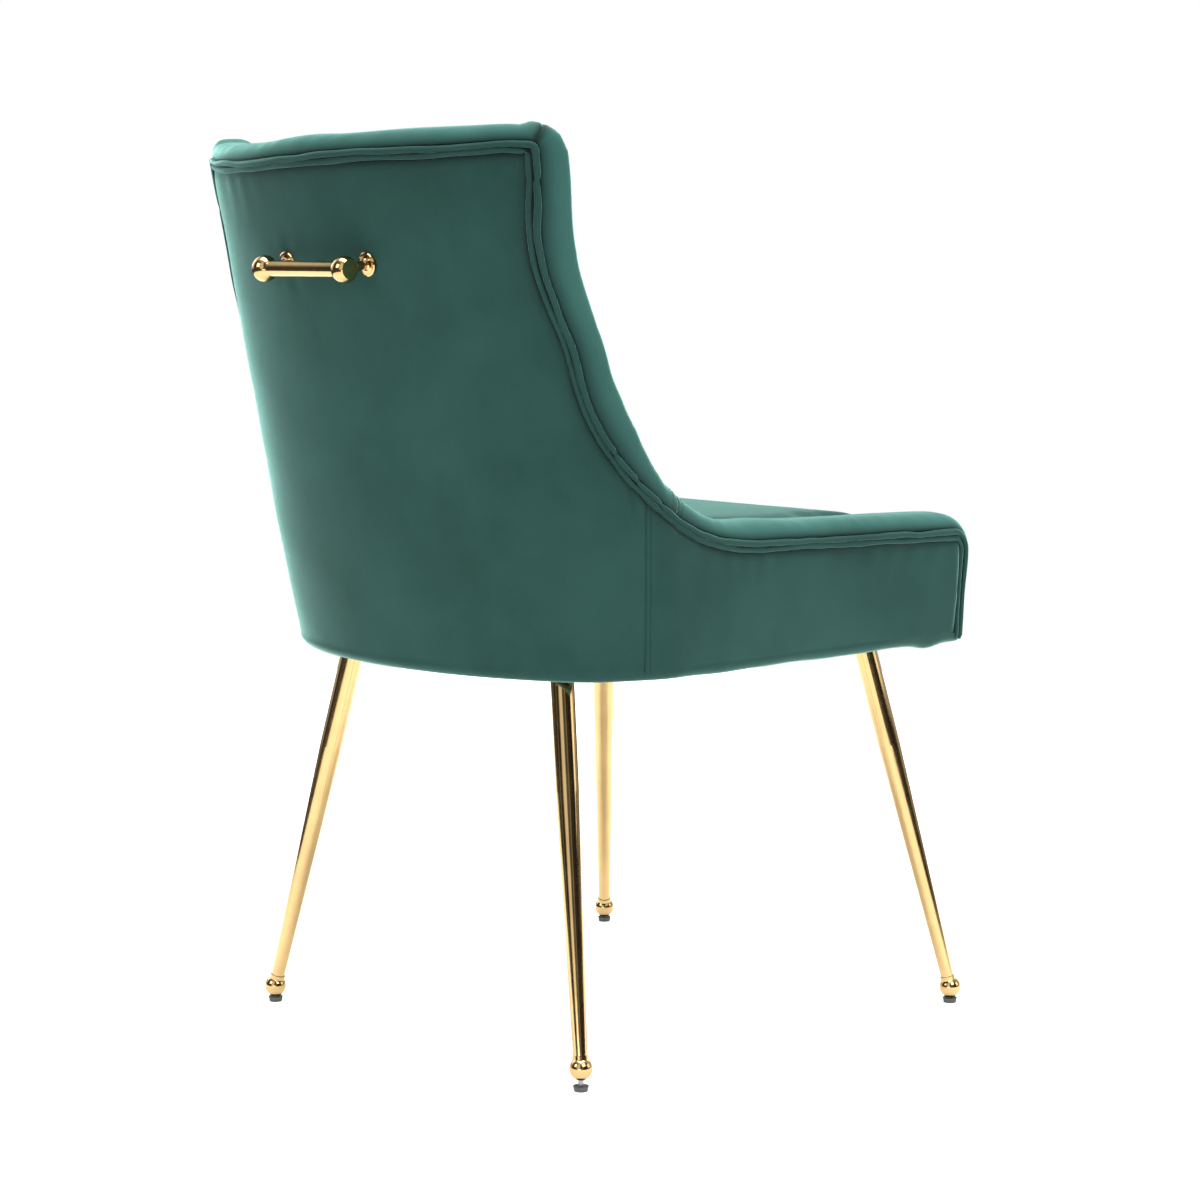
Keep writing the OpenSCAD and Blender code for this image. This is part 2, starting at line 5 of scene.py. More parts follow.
import bmesh
import bpy
import numpy as np
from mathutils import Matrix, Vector


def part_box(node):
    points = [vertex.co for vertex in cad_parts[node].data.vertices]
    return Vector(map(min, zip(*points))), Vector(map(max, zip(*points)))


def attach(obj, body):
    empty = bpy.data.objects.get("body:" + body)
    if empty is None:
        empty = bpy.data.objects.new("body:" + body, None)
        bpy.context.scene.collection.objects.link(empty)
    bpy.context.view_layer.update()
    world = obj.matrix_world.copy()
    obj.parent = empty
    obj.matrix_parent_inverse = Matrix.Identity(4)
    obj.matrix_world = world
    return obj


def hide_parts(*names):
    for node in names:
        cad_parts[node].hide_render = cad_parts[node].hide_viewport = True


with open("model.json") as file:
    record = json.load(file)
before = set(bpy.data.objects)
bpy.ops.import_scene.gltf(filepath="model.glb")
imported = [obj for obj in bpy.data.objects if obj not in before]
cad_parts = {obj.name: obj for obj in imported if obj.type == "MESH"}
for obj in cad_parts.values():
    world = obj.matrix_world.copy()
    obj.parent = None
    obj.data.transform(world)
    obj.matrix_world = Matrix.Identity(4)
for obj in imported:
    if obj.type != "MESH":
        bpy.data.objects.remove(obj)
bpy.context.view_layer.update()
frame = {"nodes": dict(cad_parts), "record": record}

# ---- Camera, lights and floor ---------------------------------------------------------------
# The viewpoint behind the chair's right rear corner, level with the handle, looking a little down
CAMERA_AT = Vector((-2.1309, 1.9867, 0.7638))
CAMERA_YAW = math.radians(46.14)
CAMERA_PITCH = math.radians(6.915)
CAMERA_LENS = 90.1
SENSOR = 36


def make_camera():
    data = bpy.data.cameras.new("camera")
    camera = bpy.data.objects.new("camera", data)
    bpy.context.scene.collection.objects.link(camera)
    bpy.context.scene.camera = camera
    data.lens = CAMERA_LENS
    data.sensor_width = SENSOR
    camera.location = CAMERA_AT
    level = math.cos(CAMERA_PITCH)
    ahead = Vector((math.sin(CAMERA_YAW) * level, -math.cos(CAMERA_YAW) * level, -math.sin(CAMERA_PITCH)))
    camera.rotation_mode = "QUATERNION"
    camera.rotation_quaternion = ahead.to_track_quat("-Z", "Y")


# Every soft box points at the middle of the chair
LIGHT_TARGET = Vector((0, 0, 0.45))


def softbox(name, place, size, power):
    data = bpy.data.lights.new(name, "AREA")
    data.shape = "RECTANGLE"
    data.size, data.size_y = size
    data.energy = power
    light = bpy.data.objects.new(name, data)
    bpy.context.scene.collection.objects.link(light)
    light.location = place
    light.rotation_mode = "QUATERNION"
    light.rotation_quaternion = (LIGHT_TARGET - Vector(place)).to_track_quat("-Z", "Y")


# The studio as the metal sees it. Position round the horizon (0 and 1 at -X, 0.25 at -Y, 0.5 at +X,
# 0.75 at +Y) against brightness: a white backdrop, dark room, and one tall soft box beside the camera.
# Overhead it is pale, and below the horizon dark; the floor disc covers most of that.
STUDIO = [(0.00, 0.03), (0.12, 0.04), (0.20, 0.75), (0.40, 0.95), (0.56, 0.80), (0.60, 0.06),
          (0.665, 0.04), (0.68, 0.35), (0.695, 0.04), (0.75, 0.05), (0.78, 1.25), (0.84, 1.30),
          (0.86, 0.16), (0.91, 0.12), (0.925, 0.50), (0.945, 0.05)]
CLOTH_LIGHT = 0.52
OVERHEAD, OVERHEAD_FROM, OVERHEAD_TO = (0.75, 0.75, 0.75, 1), 0.70, 0.90
BELOW, BELOW_FROM, BELOW_TO = (0.10, 0.10, 0.10, 1), -0.05, 0.02
FLOOR_R = 2.4


def make_world():
    """White for the camera, an even grey for cloth, and the studio for reflections."""
    world = bpy.data.worlds.new("studio")
    bpy.context.scene.world = world
    world.use_nodes = True
    nodes, links = world.node_tree.nodes, world.node_tree.links
    nodes.clear()

    def add(kind, **inputs):
        made = nodes.new(kind)
        for socket, value in inputs.items():
            made.inputs[socket.replace("_", " ")].default_value = value
        return made

    white = add("ShaderNodeBackground", Color=(1, 1, 1, 1), Strength=1.0)
    even = add("ShaderNodeBackground", Color=(1, 1, 1, 1), Strength=CLOTH_LIGHT)
    studio = add("ShaderNodeBackground", Strength=1.0)
    path = nodes.new("ShaderNodeLightPath")
    coords = nodes.new("ShaderNodeTexCoord")
    split = nodes.new("ShaderNodeSeparateXYZ")
    links.new(coords.outputs["Generated"], split.inputs[0])
    turn = nodes.new("ShaderNodeMath")
    turn.operation = "ARCTAN2"
    links.new(split.outputs["Y"], turn.inputs[0])
    links.new(split.outputs["X"], turn.inputs[1])
    round_share = add("ShaderNodeMapRange", From_Min=-math.pi, From_Max=math.pi)
    links.new(turn.outputs[0], round_share.inputs["Value"])
    ramp = nodes.new("ShaderNodeValToRGB")
    for k, (at, level) in enumerate(STUDIO):
        stop = ramp.color_ramp.elements[k] if k < 2 else ramp.color_ramp.elements.new(at)
        stop.position = at
        stop.color = (level, level, level, 1)
    links.new(round_share.outputs[0], ramp.inputs[0])
    height = add("ShaderNodeMapRange", From_Min=OVERHEAD_FROM, From_Max=OVERHEAD_TO)
    links.new(split.outputs["Z"], height.inputs["Value"])
    overhead = add("ShaderNodeMixRGB", Color2=OVERHEAD)
    links.new(height.outputs[0], overhead.inputs["Fac"])
    links.new(ramp.outputs["Color"], overhead.inputs["Color1"])
    depth = add("ShaderNodeMapRange", From_Min=BELOW_FROM, From_Max=BELOW_TO)
    links.new(split.outputs["Z"], depth.inputs["Value"])
    below = add("ShaderNodeMixRGB", Color1=BELOW)
    links.new(depth.outputs[0], below.inputs["Fac"])
    links.new(overhead.outputs["Color"], below.inputs["Color2"])
    links.new(below.outputs["Color"], studio.inputs["Color"])
    glossy = nodes.new("ShaderNodeMixShader")
    links.new(path.outputs["Is Glossy Ray"], glossy.inputs["Fac"])
    links.new(even.outputs[0], glossy.inputs[1])
    links.new(studio.outputs[0], glossy.inputs[2])
    seen = nodes.new("ShaderNodeMixShader")
    links.new(path.outputs["Is Camera Ray"], seen.inputs["Fac"])
    links.new(glossy.outputs[0], seen.inputs[1])
    links.new(white.outputs[0], seen.inputs[2])
    out = nodes.new("ShaderNodeOutputWorld")
    links.new(seen.outputs[0], out.inputs["Surface"])


def make_floor():
    bpy.ops.mesh.primitive_circle_add(vertices=96, radius=FLOOR_R, fill_type="NGON")
    floor = bpy.context.object
    floor.name = "floor"
    look = bpy.data.materials.new("floor_white")
    look.use_nodes = True
    shader = look.node_tree.nodes["Principled BSDF"]
    shader.inputs["Base Color"].default_value = (0.86, 0.86, 0.86, 1)
    shader.inputs["Roughness"].default_value = 0.9
    shader.inputs["Emission Color"].default_value = (1, 1, 1, 1)
    shader.inputs["Emission Strength"].default_value = 0.42
    floor.data.materials.append(look)


bpy.context.scene.view_settings.view_transform = "Standard"
make_camera()
make_world()
make_floor()
softbox("key", (-2.6, 0.4, 2.6), (1.8, 1.8), 46)
softbox("back_key", (0.8, 3.2, 2.2), (1.6, 1.6), 30)
softbox("front_key", (1.0, -3.0, 2.4), (2.0, 2.0), 42)
softbox("side_key", (3.0, 0.2, 1.8), (1.6, 1.6), 15)
softbox("right_front", (-2.6, -2.4, 1.5), (1.8, 1.8), 22)
softbox("top", (0, 0, 3.4), (2.4, 2.4), 215)
softbox("low_fill", (-1.6, 2.4, 0.25), (1.4, 0.4), 6)


# ---- Materials --------------------------------------------------------------------------------
def new_material(name):
    look = bpy.data.materials.new(name)
    look.use_nodes = True
    tree = look.node_tree
    return look, tree, tree.nodes["Principled BSDF"]


def noise_node(tree, scale, detail=3.0, rough=0.5, stretch=(1, 1, 1)):
    """A noise in object space, where one unit is a metre; stretch scales it along each axis."""
    coords = tree.nodes.new("ShaderNodeTexCoord")
    place = tree.nodes.new("ShaderNodeMapping")
    place.inputs["Scale"].default_value = stretch
    made = tree.nodes.new("ShaderNodeTexNoise")
    made.inputs["Scale"].default_value = scale
    made.inputs["Detail"].default_value = detail
    made.inputs["Roughness"].default_value = rough
    tree.links.new(coords.outputs["Object"], place.inputs["Vector"])
    tree.links.new(place.outputs[0], made.inputs["Vector"])
    return made.outputs["Fac"]


def ramp_node(tree, source, stops):
    """stops is a list of (position, colour)."""
    made = tree.nodes.new("ShaderNodeValToRGB")
    for k, (at, colour) in enumerate(stops):
        stop = made.color_ramp.elements[k] if k < 2 else made.color_ramp.elements.new(at)
        stop.position = at
        stop.color = (*colour, 1)
    tree.links.new(source, made.inputs["Fac"])
    return made.outputs["Color"]


def mix_colour(tree, fac, a, b, mode="MIX"):
    made = tree.nodes.new("ShaderNodeMixRGB")
    made.blend_type = mode
    if isinstance(fac, float):
        made.inputs["Fac"].default_value = fac
    else:
        tree.links.new(fac, made.inputs["Fac"])
    for socket, value in (("Color1", a), ("Color2", b)):
        if isinstance(value, tuple):
            made.inputs[socket].default_value = (*value, 1)
        else:
            tree.links.new(value, made.inputs[socket])
    return made.outputs["Color"]


def bump(tree, shader, height, distance, strength=1.0, onto=None):
    made = tree.nodes.new("ShaderNodeBump")
    made.inputs["Distance"].default_value = distance
    made.inputs["Strength"].default_value = strength
    tree.links.new(height, made.inputs["Height"])
    if onto is not None:
        tree.links.new(onto, made.inputs["Normal"])
    tree.links.new(made.outputs["Normal"], shader.inputs["Normal"])
    return made.outputs["Normal"]


# Brightness of the painted shade in seams and creases, as a share of the deep colour; darker smears on
# metal
CREASE_PAINTED_SHADE = 0.22
SMEAR_SHADE = 0.86


def velvet(name, deep, light):
    """Short-pile velvet: patches where the pile lies differently, fine pile grain, and sheen.
    A point attribute (0 open cloth, 1 deep in a seam) mixes in painted shade: the colour darkens where
    shade falls in seams, beside the welt, at stitches and on the undersides of the cords."""
    black, white = (0, 0, 0), (1, 1, 1)
    look, tree, shader = new_material(name)
    patches = noise_node(tree, 7.0, 3.0, 0.55)
    strokes = noise_node(tree, 26.0, 4.0, 0.6, (1, 1, 0.45))
    pile = noise_node(tree, 1500.0, 2.0, 0.7)
    grain = noise_node(tree, 420.0, 3.0, 0.6)
    colour = ramp_node(tree, patches, [(0.32, deep), (0.72, light)])
    stroked = ramp_node(tree, strokes, [(0.4, black), (0.75, (0.35, 0.35, 0.35))])
    colour = mix_colour(tree, stroked, colour, light)
    shaded = ramp_node(tree, pile, [(0.25, (0.62, 0.62, 0.62)), (0.75, white)])
    colour = mix_colour(tree, 0.55, colour, shaded, "MULTIPLY")
    # Painted shade: the per-point attribute mixes the colour towards a dark teal in seams, by the welt
    # and under the cords
    painted_crease_shade = tree.nodes.new("ShaderNodeAttribute")
    painted_crease_shade.attribute_name = "painted_crease_shade"
    colour = mix_colour(tree, painted_crease_shade.outputs["Fac"], colour, tuple(c * CREASE_PAINTED_SHADE for c in deep))
    tree.links.new(colour, shader.inputs["Base Color"])
    shader.inputs["Roughness"].default_value = 0.82
    shader.inputs["Specular IOR Level"].default_value = 0.18
    shader.inputs["Sheen Weight"].default_value = 1.0
    shader.inputs["Sheen Roughness"].default_value = 0.28
    shader.inputs["Sheen Tint"].default_value = (0.47, 0.95, 0.84, 1)
    first = bump(tree, shader, grain, 0.00025, 0.5)
    bump(tree, shader, pile, 0.00018, 0.7, first)
    return look


def metal(name, base, rough_low, rough_high, scratch=0.00002):
    """Plated or polished metal with faint smears, hairline scratches and tiny dust pits."""
    look, tree, shader = new_material(name)
    smears = noise_node(tree, 22.0, 5.0, 0.6)
    lines = noise_node(tree, 260.0, 2.0, 0.5, (1, 1, 0.06))
    pits = noise_node(tree, 900.0, 2.0, 0.5)
    darker = tuple(c * SMEAR_SHADE for c in base)
    tree.links.new(ramp_node(tree, smears, [(0.3, darker), (0.62, base)]), shader.inputs["Base Color"])
    rough = tree.nodes.new("ShaderNodeMapRange")
    rough.inputs["From Min"].default_value = 0.3
    rough.inputs["From Max"].default_value = 0.75
    rough.inputs["To Min"].default_value = rough_low
    rough.inputs["To Max"].default_value = rough_high
    tree.links.new(smears, rough.inputs["Value"])
    tree.links.new(rough.outputs[0], shader.inputs["Roughness"])
    shader.inputs["Metallic"].default_value = 1.0
    first = bump(tree, shader, lines, scratch, 0.5)
    bump(tree, shader, pits, scratch, 0.35, first)
    return look


def plain(name, dark, light, rough, grain_scale, grain_depth, stretch=(1, 1, 1)):
    """A matt surface with a two-tone grain: rubber, wood, foam or non-woven cloth."""
    look, tree, shader = new_material(name)
    grain = noise_node(tree, grain_scale, 5.0, 0.6, stretch)
    broad = noise_node(tree, grain_scale * 0.08, 3.0, 0.5, stretch)
    colour = mix_colour(tree, broad, ramp_node(tree, grain, [(0.3, dark), (0.7, light)]), light)
    tree.links.new(colour, shader.inputs["Base Color"])
    shader.inputs["Roughness"].default_value = rough
    bump(tree, shader, grain, grain_depth, 0.8)
    return look


VELVET = velvet("teal_velvet", (0.0085, 0.040, 0.033), (0.0155, 0.062, 0.052))
# A lighter copy of the velvet for the boxing band: painted light, standing in for the top light and sheen
# on the roll
VELVET_ROLL_PAINTED_LIGHT = velvet("teal_velvet_roll_painted_light", (0.020, 0.078, 0.066), (0.032, 0.112, 0.096))
THREAD = plain("thread", (0.006, 0.024, 0.020), (0.012, 0.040, 0.033), 0.75, 900, 0.0001)
GOLD = metal("gold_plating", (0.54, 0.368, 0.165), 0.07, 0.16)
ZINC = metal("zinc_plating", (0.30, 0.31, 0.32), 0.30, 0.45, 0.00004)
RUBBER = plain("glide_rubber", (0.040, 0.048, 0.044), (0.075, 0.085, 0.078), 0.7, 700, 0.0001)
WOOD = plain("plywood", (0.42, 0.27, 0.14), (0.66, 0.48, 0.29), 0.7, 60, 0.0002, (1, 0.12, 1))
FOAM = plain("foam", (0.62, 0.55, 0.36), (0.82, 0.76, 0.56), 0.95, 500, 0.0006)
LINING = plain("non_woven", (0.010, 0.010, 0.011), (0.030, 0.030, 0.032), 0.9, 650, 0.0003)
STAPLE = metal("staple_wire", (0.62, 0.62, 0.62), 0.25, 0.40)
SLOT_LOOKS = {"velvet": VELVET, "foam": FOAM, "lining": LINING, "plywood": WOOD,
              "gold_metal": GOLD, "zinc": ZINC, "glide_rubber": RUBBER}


def dress_cad_nodes():
    """Each CAD node takes the procedural material of its slot in the record."""
    slots = {s["node"]: s["material_slot"] for s in frame["record"]["subparts"]}
    for name, node in frame["nodes"].items():
        node.data.materials.clear()
        node.data.materials.append(SLOT_LOOKS[slots[name]])


dress_cad_nodes()

# ---- Form of the padded shell -----------------------------------------------------------------
# A place on the outer face is (p, z): p runs round the plan, 0 where the straight side meets the
# rounded back, QUARTER at the middle of the back and negative towards the front. d is the depth
# inwards from the outer face. Everything is worked out on the +X half and mirrored.
LOW_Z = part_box("outer_back_cover")[0].z
FRONT_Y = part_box("side_cover_right")[0].y
HALF_W = 0.245        # half the width over the sides at the lower edge
FLARE = 0.073         # how much a side moves out for every metre of height
SPLAY = 0.024         # and for every metre towards the front
ROUND = 0.150         # depth of the rounded rear part
BACK_Y = 0.217        # the back at its middle, at the lower edge
LEAN = 0.176          # how much the back leans out for every metre of height
TOP_Z = 0.841         # upper edge at its corners
TOP_SAG = 0.004       # its drop at the middle
TOP_HALF = 0.229      # half its width
ARM_Z = 0.477         # arm edge at the front
ARM_RISE = 0.027      # its rise for every metre towards the back
EDGE_LEAN = 0.253     # lean of the side edge of the back
EDGE_BOW = 0.009      # how far that edge bows in at its middle
SWEEP_R = 0.212       # radius of the sweep from back to arm
CORNER_R = 0.022      # front corner of the arm
TOP_CORNER = 0.008    # top corner of the back
WALL = 0.048          # thickness of the padded wall
ROLL = 0.017          # height of the padded roll over the wall, times its fullness
SEAT_EDGE_Z = 0.476   # the seat at its seams
SEAT_CROWN_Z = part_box("seat_cover")[1].z
LEFT, RIGHT = 1, -1
OVAL = 1.02           # the rounded part is a little longer than a quarter circle of its mean radius
QUARTER = (HALF_W + ROUND) * math.pi / 4 * OVAL


def half_width(z):
    """Half the width over the straight sides at the height z."""
    return HALF_W + FLARE * (z - LOW_Z)


def round_y(z):
    """Where the straight sides meet the rounded back at the height z."""
    return BACK_Y + LEAN * (z - LOW_Z) - ROUND


def face(p, z, d=0.0):
    """Points of the shell at the depth d, for arrays p and z, on the +X half."""
    p, z = np.asarray(p, float), np.asarray(z, float)
    turn = np.clip(p, 0, None) / QUARTER * math.pi / 2
    straight = np.clip(-p, 0, None)
    x = (half_width(z) - d) * np.cos(turn) + SPLAY * straight
    y = round_y(z) + (ROUND - d) * np.sin(turn) - straight
    return np.stack([x, y, z + 0 * p], -1)


def plan_at(y, z):
    """The place p on the outer face that has the depth y at the height z."""
    behind = np.clip((y - round_y(z)) / ROUND, 0, 1)
    return np.where(y > round_y(z), np.arcsin(behind) * QUARTER * 2 / math.pi, y - round_y(z))


def edge_outline():
    """The edge from the middle of the back to the foot of the arm front, in (p, z), and its stops."""
    top_p = QUARTER * math.acos(TOP_HALF / half_width(TOP_Z)) * 2 / math.pi
    top_y = float(face(top_p, TOP_Z)[1])
    lean, arm = math.atan(1 / EDGE_LEAN), math.atan(ARM_RISE)
    cross_z = (ARM_Z + ARM_RISE * (top_y - TOP_Z * EDGE_LEAN - FRONT_Y)) / (1 - ARM_RISE * EDGE_LEAN)
    cross = np.array([top_y - EDGE_LEAN * (TOP_Z - cross_z), cross_z])
    reach = SWEEP_R / math.tan((math.pi - lean + arm) / 2)
    along = np.array([math.cos(lean), math.sin(lean)])
    centre = cross + reach * along + SWEEP_R * np.array([-math.sin(lean), math.cos(lean)])
    inward = np.array([math.sin(lean), -math.cos(lean)])
    line = np.linspace(np.hypot(*(np.array([top_y, TOP_Z]) - cross)), reach, 60)
    bow = EDGE_BOW * np.sin(np.linspace(0, math.pi, 60)) ** 2
    side = list(cross + line[:, None] * along + bow[:, None] * inward)
    side += [centre + SWEEP_R * np.array([math.sin(a), -math.cos(a)])
             for a in np.linspace(lean, arm, 80)[1:]]
    arm_end = np.array([FRONT_Y + CORNER_R, ARM_Z + ARM_RISE * CORNER_R])
    side += [side[-1] + (arm_end - side[-1]) * f for f in np.linspace(0, 1, 60)[1:]]
    turn = arm_end - [0, CORNER_R]
    side += [turn + CORNER_R * np.array([-math.sin(a), math.cos(a)])
             for a in np.linspace(0, math.pi / 2, 16)[1:]]
    foot = np.array([FRONT_Y, LOW_Z])
    side += [side[-1] + (foot - side[-1]) * f for f in np.linspace(0, 1, 30)[1:]]
    side = np.array(side)
    share = np.linspace(0, 1, 60)[:-1]
    top = np.stack([QUARTER + (top_p - QUARTER) * share, TOP_Z - TOP_SAG * (1 - share ** 2)], 1)
    return np.concatenate([top, np.stack([plan_at(side[:, 0], side[:, 1]), side[:, 1]], 1)]), len(top)


def smooth_curve(points, width):
    """Rounds a polyline by averaging it over a window of that many samples, keeping its ends."""
    window = np.hanning(width + 2)[1:-1]
    window /= window.sum()
    before, after = 2 * points[0] - points[width:0:-1], 2 * points[-1] - points[-2:-width - 2:-1]
    padded = np.concatenate([before, points, after])
    smooth = np.stack([np.convolve(padded[:, k], window, "same") for k in range(2)], 1)
    return smooth[width:-width]


STEP = 0.001          # spacing of the samples along the edge
_raw, _corner = edge_outline()
_length = np.concatenate([[0], np.cumsum(np.hypot(*np.diff(_raw, axis=0).T))])
EDGE_S = np.arange(0, _length[-1], STEP)
EDGE = np.stack([np.interp(EDGE_S, _length, _raw[:, k]) for k in range(2)], 1)
EDGE = smooth_curve(EDGE, int(2 * TOP_CORNER / STEP))
_tangent = np.gradient(EDGE, axis=0)
EDGE_OUT = np.stack([_tangent[:, 1], -_tangent[:, 0]], 1)
EDGE_OUT /= np.linalg.norm(EDGE_OUT, axis=1)[:, None]
S_CORNER = float(_length[_corner])
S_END = float(EDGE_S[-1])


def s_where(y, after):
    """The distance along the edge where the side first passes the depth y, beyond the distance after."""
    places = face(EDGE[:, 0], EDGE[:, 1])
    return float(EDGE_S[(EDGE_S > after) & (places[:, 1] < y)][0])


def s_below(z):
    """The distance along the edge where the side edge first passes the height z."""
    return float(EDGE_S[(EDGE_S > S_CORNER) & (EDGE[:, 1] < z)][0])


# Distances along the edge: side seam, boxing joint, arm, and the top and foot of its front corner
PAST_CORNER = S_CORNER + 0.02
S_SEAM = s_where(0.126, PAST_CORNER)
S_JOINT = s_where(0.092, PAST_CORNER)
S_ARM = s_where(-0.02, PAST_CORNER)
S_FRONT = s_where(FRONT_Y + CORNER_R, PAST_CORNER)
S_FRONT_LOW = S_FRONT + CORNER_R * math.pi / 2
S_SWEEP = s_where(0.19, PAST_CORNER)
# The columns of a cover fan out: the column that ends at FOOT_S along the edge starts at FOOT_P below
FOOT_S = [0, S_CORNER, S_SWEEP, S_SEAM, S_ARM, S_FRONT, S_FRONT_LOW]
FOOT_P = [QUARTER, 0.172, 0.098, 0.057, -0.095, -0.345, float(plan_at(FRONT_Y, LOW_Z))]


def edge_at(s, k=0.0):
    """(p, z) at the distance s along the edge, moved k outwards along the shell."""
    s = np.asarray(s, float)
    base = np.stack([np.interp(s, EDGE_S, EDGE[:, j]) for j in range(2)], -1)
    out = np.stack([np.interp(s, EDGE_S, EDGE_OUT[:, j]) for j in range(2)], -1)
    return base + np.asarray(k, float)[..., None] * out


def mirror(points, side):
    points = points.copy()
    points[..., 0] *= np.asarray(side)
    return points


def place(u, k, d):
    """A point by the signed distance u along the edge (negative on the right side), k and d."""
    q = edge_at(np.abs(u), k)
    return mirror(face(q[..., 0], q[..., 1], d), np.where(np.asarray(u) < 0, RIGHT, LEFT))


def bell(gap, width):
    """1 where the gap is 0, fading away over about two widths on each side."""
    return np.exp(-(gap / width) ** 2)


def waves(points, scale, seed, count=7):
    """A smooth irregular field from -1 to 1, whose features are about scale metres across."""
    rng = np.random.RandomState(seed)
    total = np.zeros(points.shape[:-1])
    for _ in range(count):
        way = rng.normal(size=3)
        way *= rng.uniform(0.6, 1.5) / (np.linalg.norm(way) * scale)
        total += np.sin(points @ way * math.pi + rng.uniform(0, 2 * math.pi))
    return total / math.sqrt(count)


# ---- Mesh helpers -----------------------------------------------------------------------------
def new_object(name, points, faces, look, body="root", painted_crease_shade=None):
    mesh = bpy.data.meshes.new(name)
    mesh.from_pydata([tuple(p) for p in points], [], [tuple(int(i) for i in f) for f in faces])
    mesh.materials.append(look)
    # The optional per-point painted shade, 0 to 1, that darkens the velvet in seams and creases
    if painted_crease_shade is not None:
        depth = mesh.attributes.new("painted_crease_shade", "FLOAT", "POINT")
        depth.data.foreach_set("value", np.clip(painted_crease_shade, 0, 1).astype(np.float32).ravel())
    mesh.update()
    made = bpy.data.objects.new(name, mesh)
    bpy.context.scene.collection.objects.link(made)
    finish_piece(made, body)
    return made


def finish_piece(made, body="root"):
    made.data.polygons.foreach_set("use_smooth", [True] * len(made.data.polygons))
    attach(made, body)


def grid_faces(rows, columns, wrap_rows=False, wrap_columns=False):
    r = np.arange(rows if wrap_rows else rows - 1)
    c = np.arange(columns if wrap_columns else columns - 1)
    a, b = np.meshgrid(r, c, indexing="ij")
    up, along = (a + 1) % rows, (b + 1) % columns
    quads = np.stack([a * columns + b, a * columns + along, up * columns + along, up * columns + b], -1)
    return quads.reshape(-1, 4)


def sheet_piece(name, points, thickness, look=None, flip=False, painted_crease_shade=None):
    """A cloth panel from a grid of points, given its thickness behind them."""
    rows, columns = points.shape[:2]
    faces = grid_faces(rows, columns)
    if flip:
        faces = faces[:, ::-1]
    made = new_object(name, points.reshape(-1, 3), faces, look or VELVET, painted_crease_shade=painted_crease_shade)
    solid = made.modifiers.new("thickness", "SOLIDIFY")
    solid.thickness = thickness
    solid.offset = -1
    solid.use_quality_normals = True
    return made


def tube_piece(name, centres, across, out, radii, look, body="root", sides=12):
    """A closed tube along centres. across and out are unit vectors, radii is (count, 2) for them."""
    angles = np.linspace(0, 2 * math.pi, sides, endpoint=False)
    ring = (centres[:, None] + across[:, None] * (radii[:, :1] * np.cos(angles))[..., None]
            + out[:, None] * (radii[:, 1:] * np.sin(angles))[..., None])
    count = len(centres)
    faces = list(grid_faces(count, sides, wrap_columns=True))
    points = np.concatenate([ring.reshape(-1, 3), centres[:1], centres[-1:]])
    for i in range(sides):
        j = (i + 1) % sides
        faces.append((count * sides, j, i))
        faces.append((count * sides + 1, (count - 1) * sides + i, (count - 1) * sides + j))
    # Painted shade on the cord: darkest on the side turned in to the cover, lightest on its crown, and
    # full at the two end points
    painted_underside_shade = np.tile(np.clip(0.95 - 1.25 * np.sin(angles), 0.10, 0.95), count)
    made = new_object(name, points, faces, look, body, np.concatenate([painted_underside_shade, [1, 1]]))
    shell = bmesh.new()
    shell.from_mesh(made.data)
    bmesh.ops.recalc_face_normals(shell, faces=shell.faces)
    shell.to_mesh(made.data)
    shell.free()
    return made


def unit(v):
    return v / np.maximum(np.linalg.norm(v, axis=-1, keepdims=True), 1e-12)


def route_frame(centres, outward):
    """Unit vectors square to a route: across lies in the surface, out stands on it."""
    along = unit(np.gradient(centres, axis=0))
    across = unit(np.cross(outward, along))
    return along, across, unit(np.cross(along, across))


# ---- Outer covers -----------------------------------------------------------------------------
HEM_R = 0.009         # radius of the lower edge
HEM_IN = 0.016        # how far the cover is turned in under it
WELT_WIDE = 0.0112    # width of both cords
UNDER_FADE = 0.004    # distance over which the cover rises beside them
TUCK_IN = 0.0014      # how deep the cover lies under the cords and in the slot of a seam
SEAM_SLOT = 0.0002    # half the width of that slot
STITCH_GAP = 0.0062   # top stitches beside a seam
COVER_T = 0.0015
INSET = 0.003         # covers end this far inside the edge line
HEM_TURN = np.linspace(1.2, 0.2, 5)   # angles of the rows round the lower edge
LUMP, LUMP_Y, LUMP_R = 0.004, FRONT_Y + 0.042, 0.016
SEAM_DIP = 0.0006
# Soft relief of the covers: a swell over each hip, one over each side, and gathers under the welt, which
# fade over this share of the height
HIP_SWELL, HIP_X, HIP_Z, HIP_R = 0.0030, 0.19, 0.48, 0.09
SIDE_SWELL = 0.0035
BACK_GATHER, BACK_REACH = 0.0006, 0.06
SIDE_GATHER, SIDE_REACH = 0.0009, 0.13
# Each rosette presses a dent with five faint pulls round it
DENT, DENT_R = 0.0018, 0.016
PULL, PULL_AT, PULL_R = 0.0003, 0.022, 0.012
HEM_DRAW = 0.0008     # the back is drawn in at the hem
ROSETTES = [sum(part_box(n), Vector()) / 2 for n in ("handle_rosette_left", "handle_rosette_right")]


def bottom_sag(y, side):
    """How far the lower edge dips: soft irregularity, and one lump near the front of the right arm."""
    lump = LUMP * bell(y - LUMP_Y, LUMP_R) * (np.asarray(side) < 0)
    return lump + 0.0005 * np.sin(y * 41 + 1.3) + 0.0002 * np.sin(y * 97)


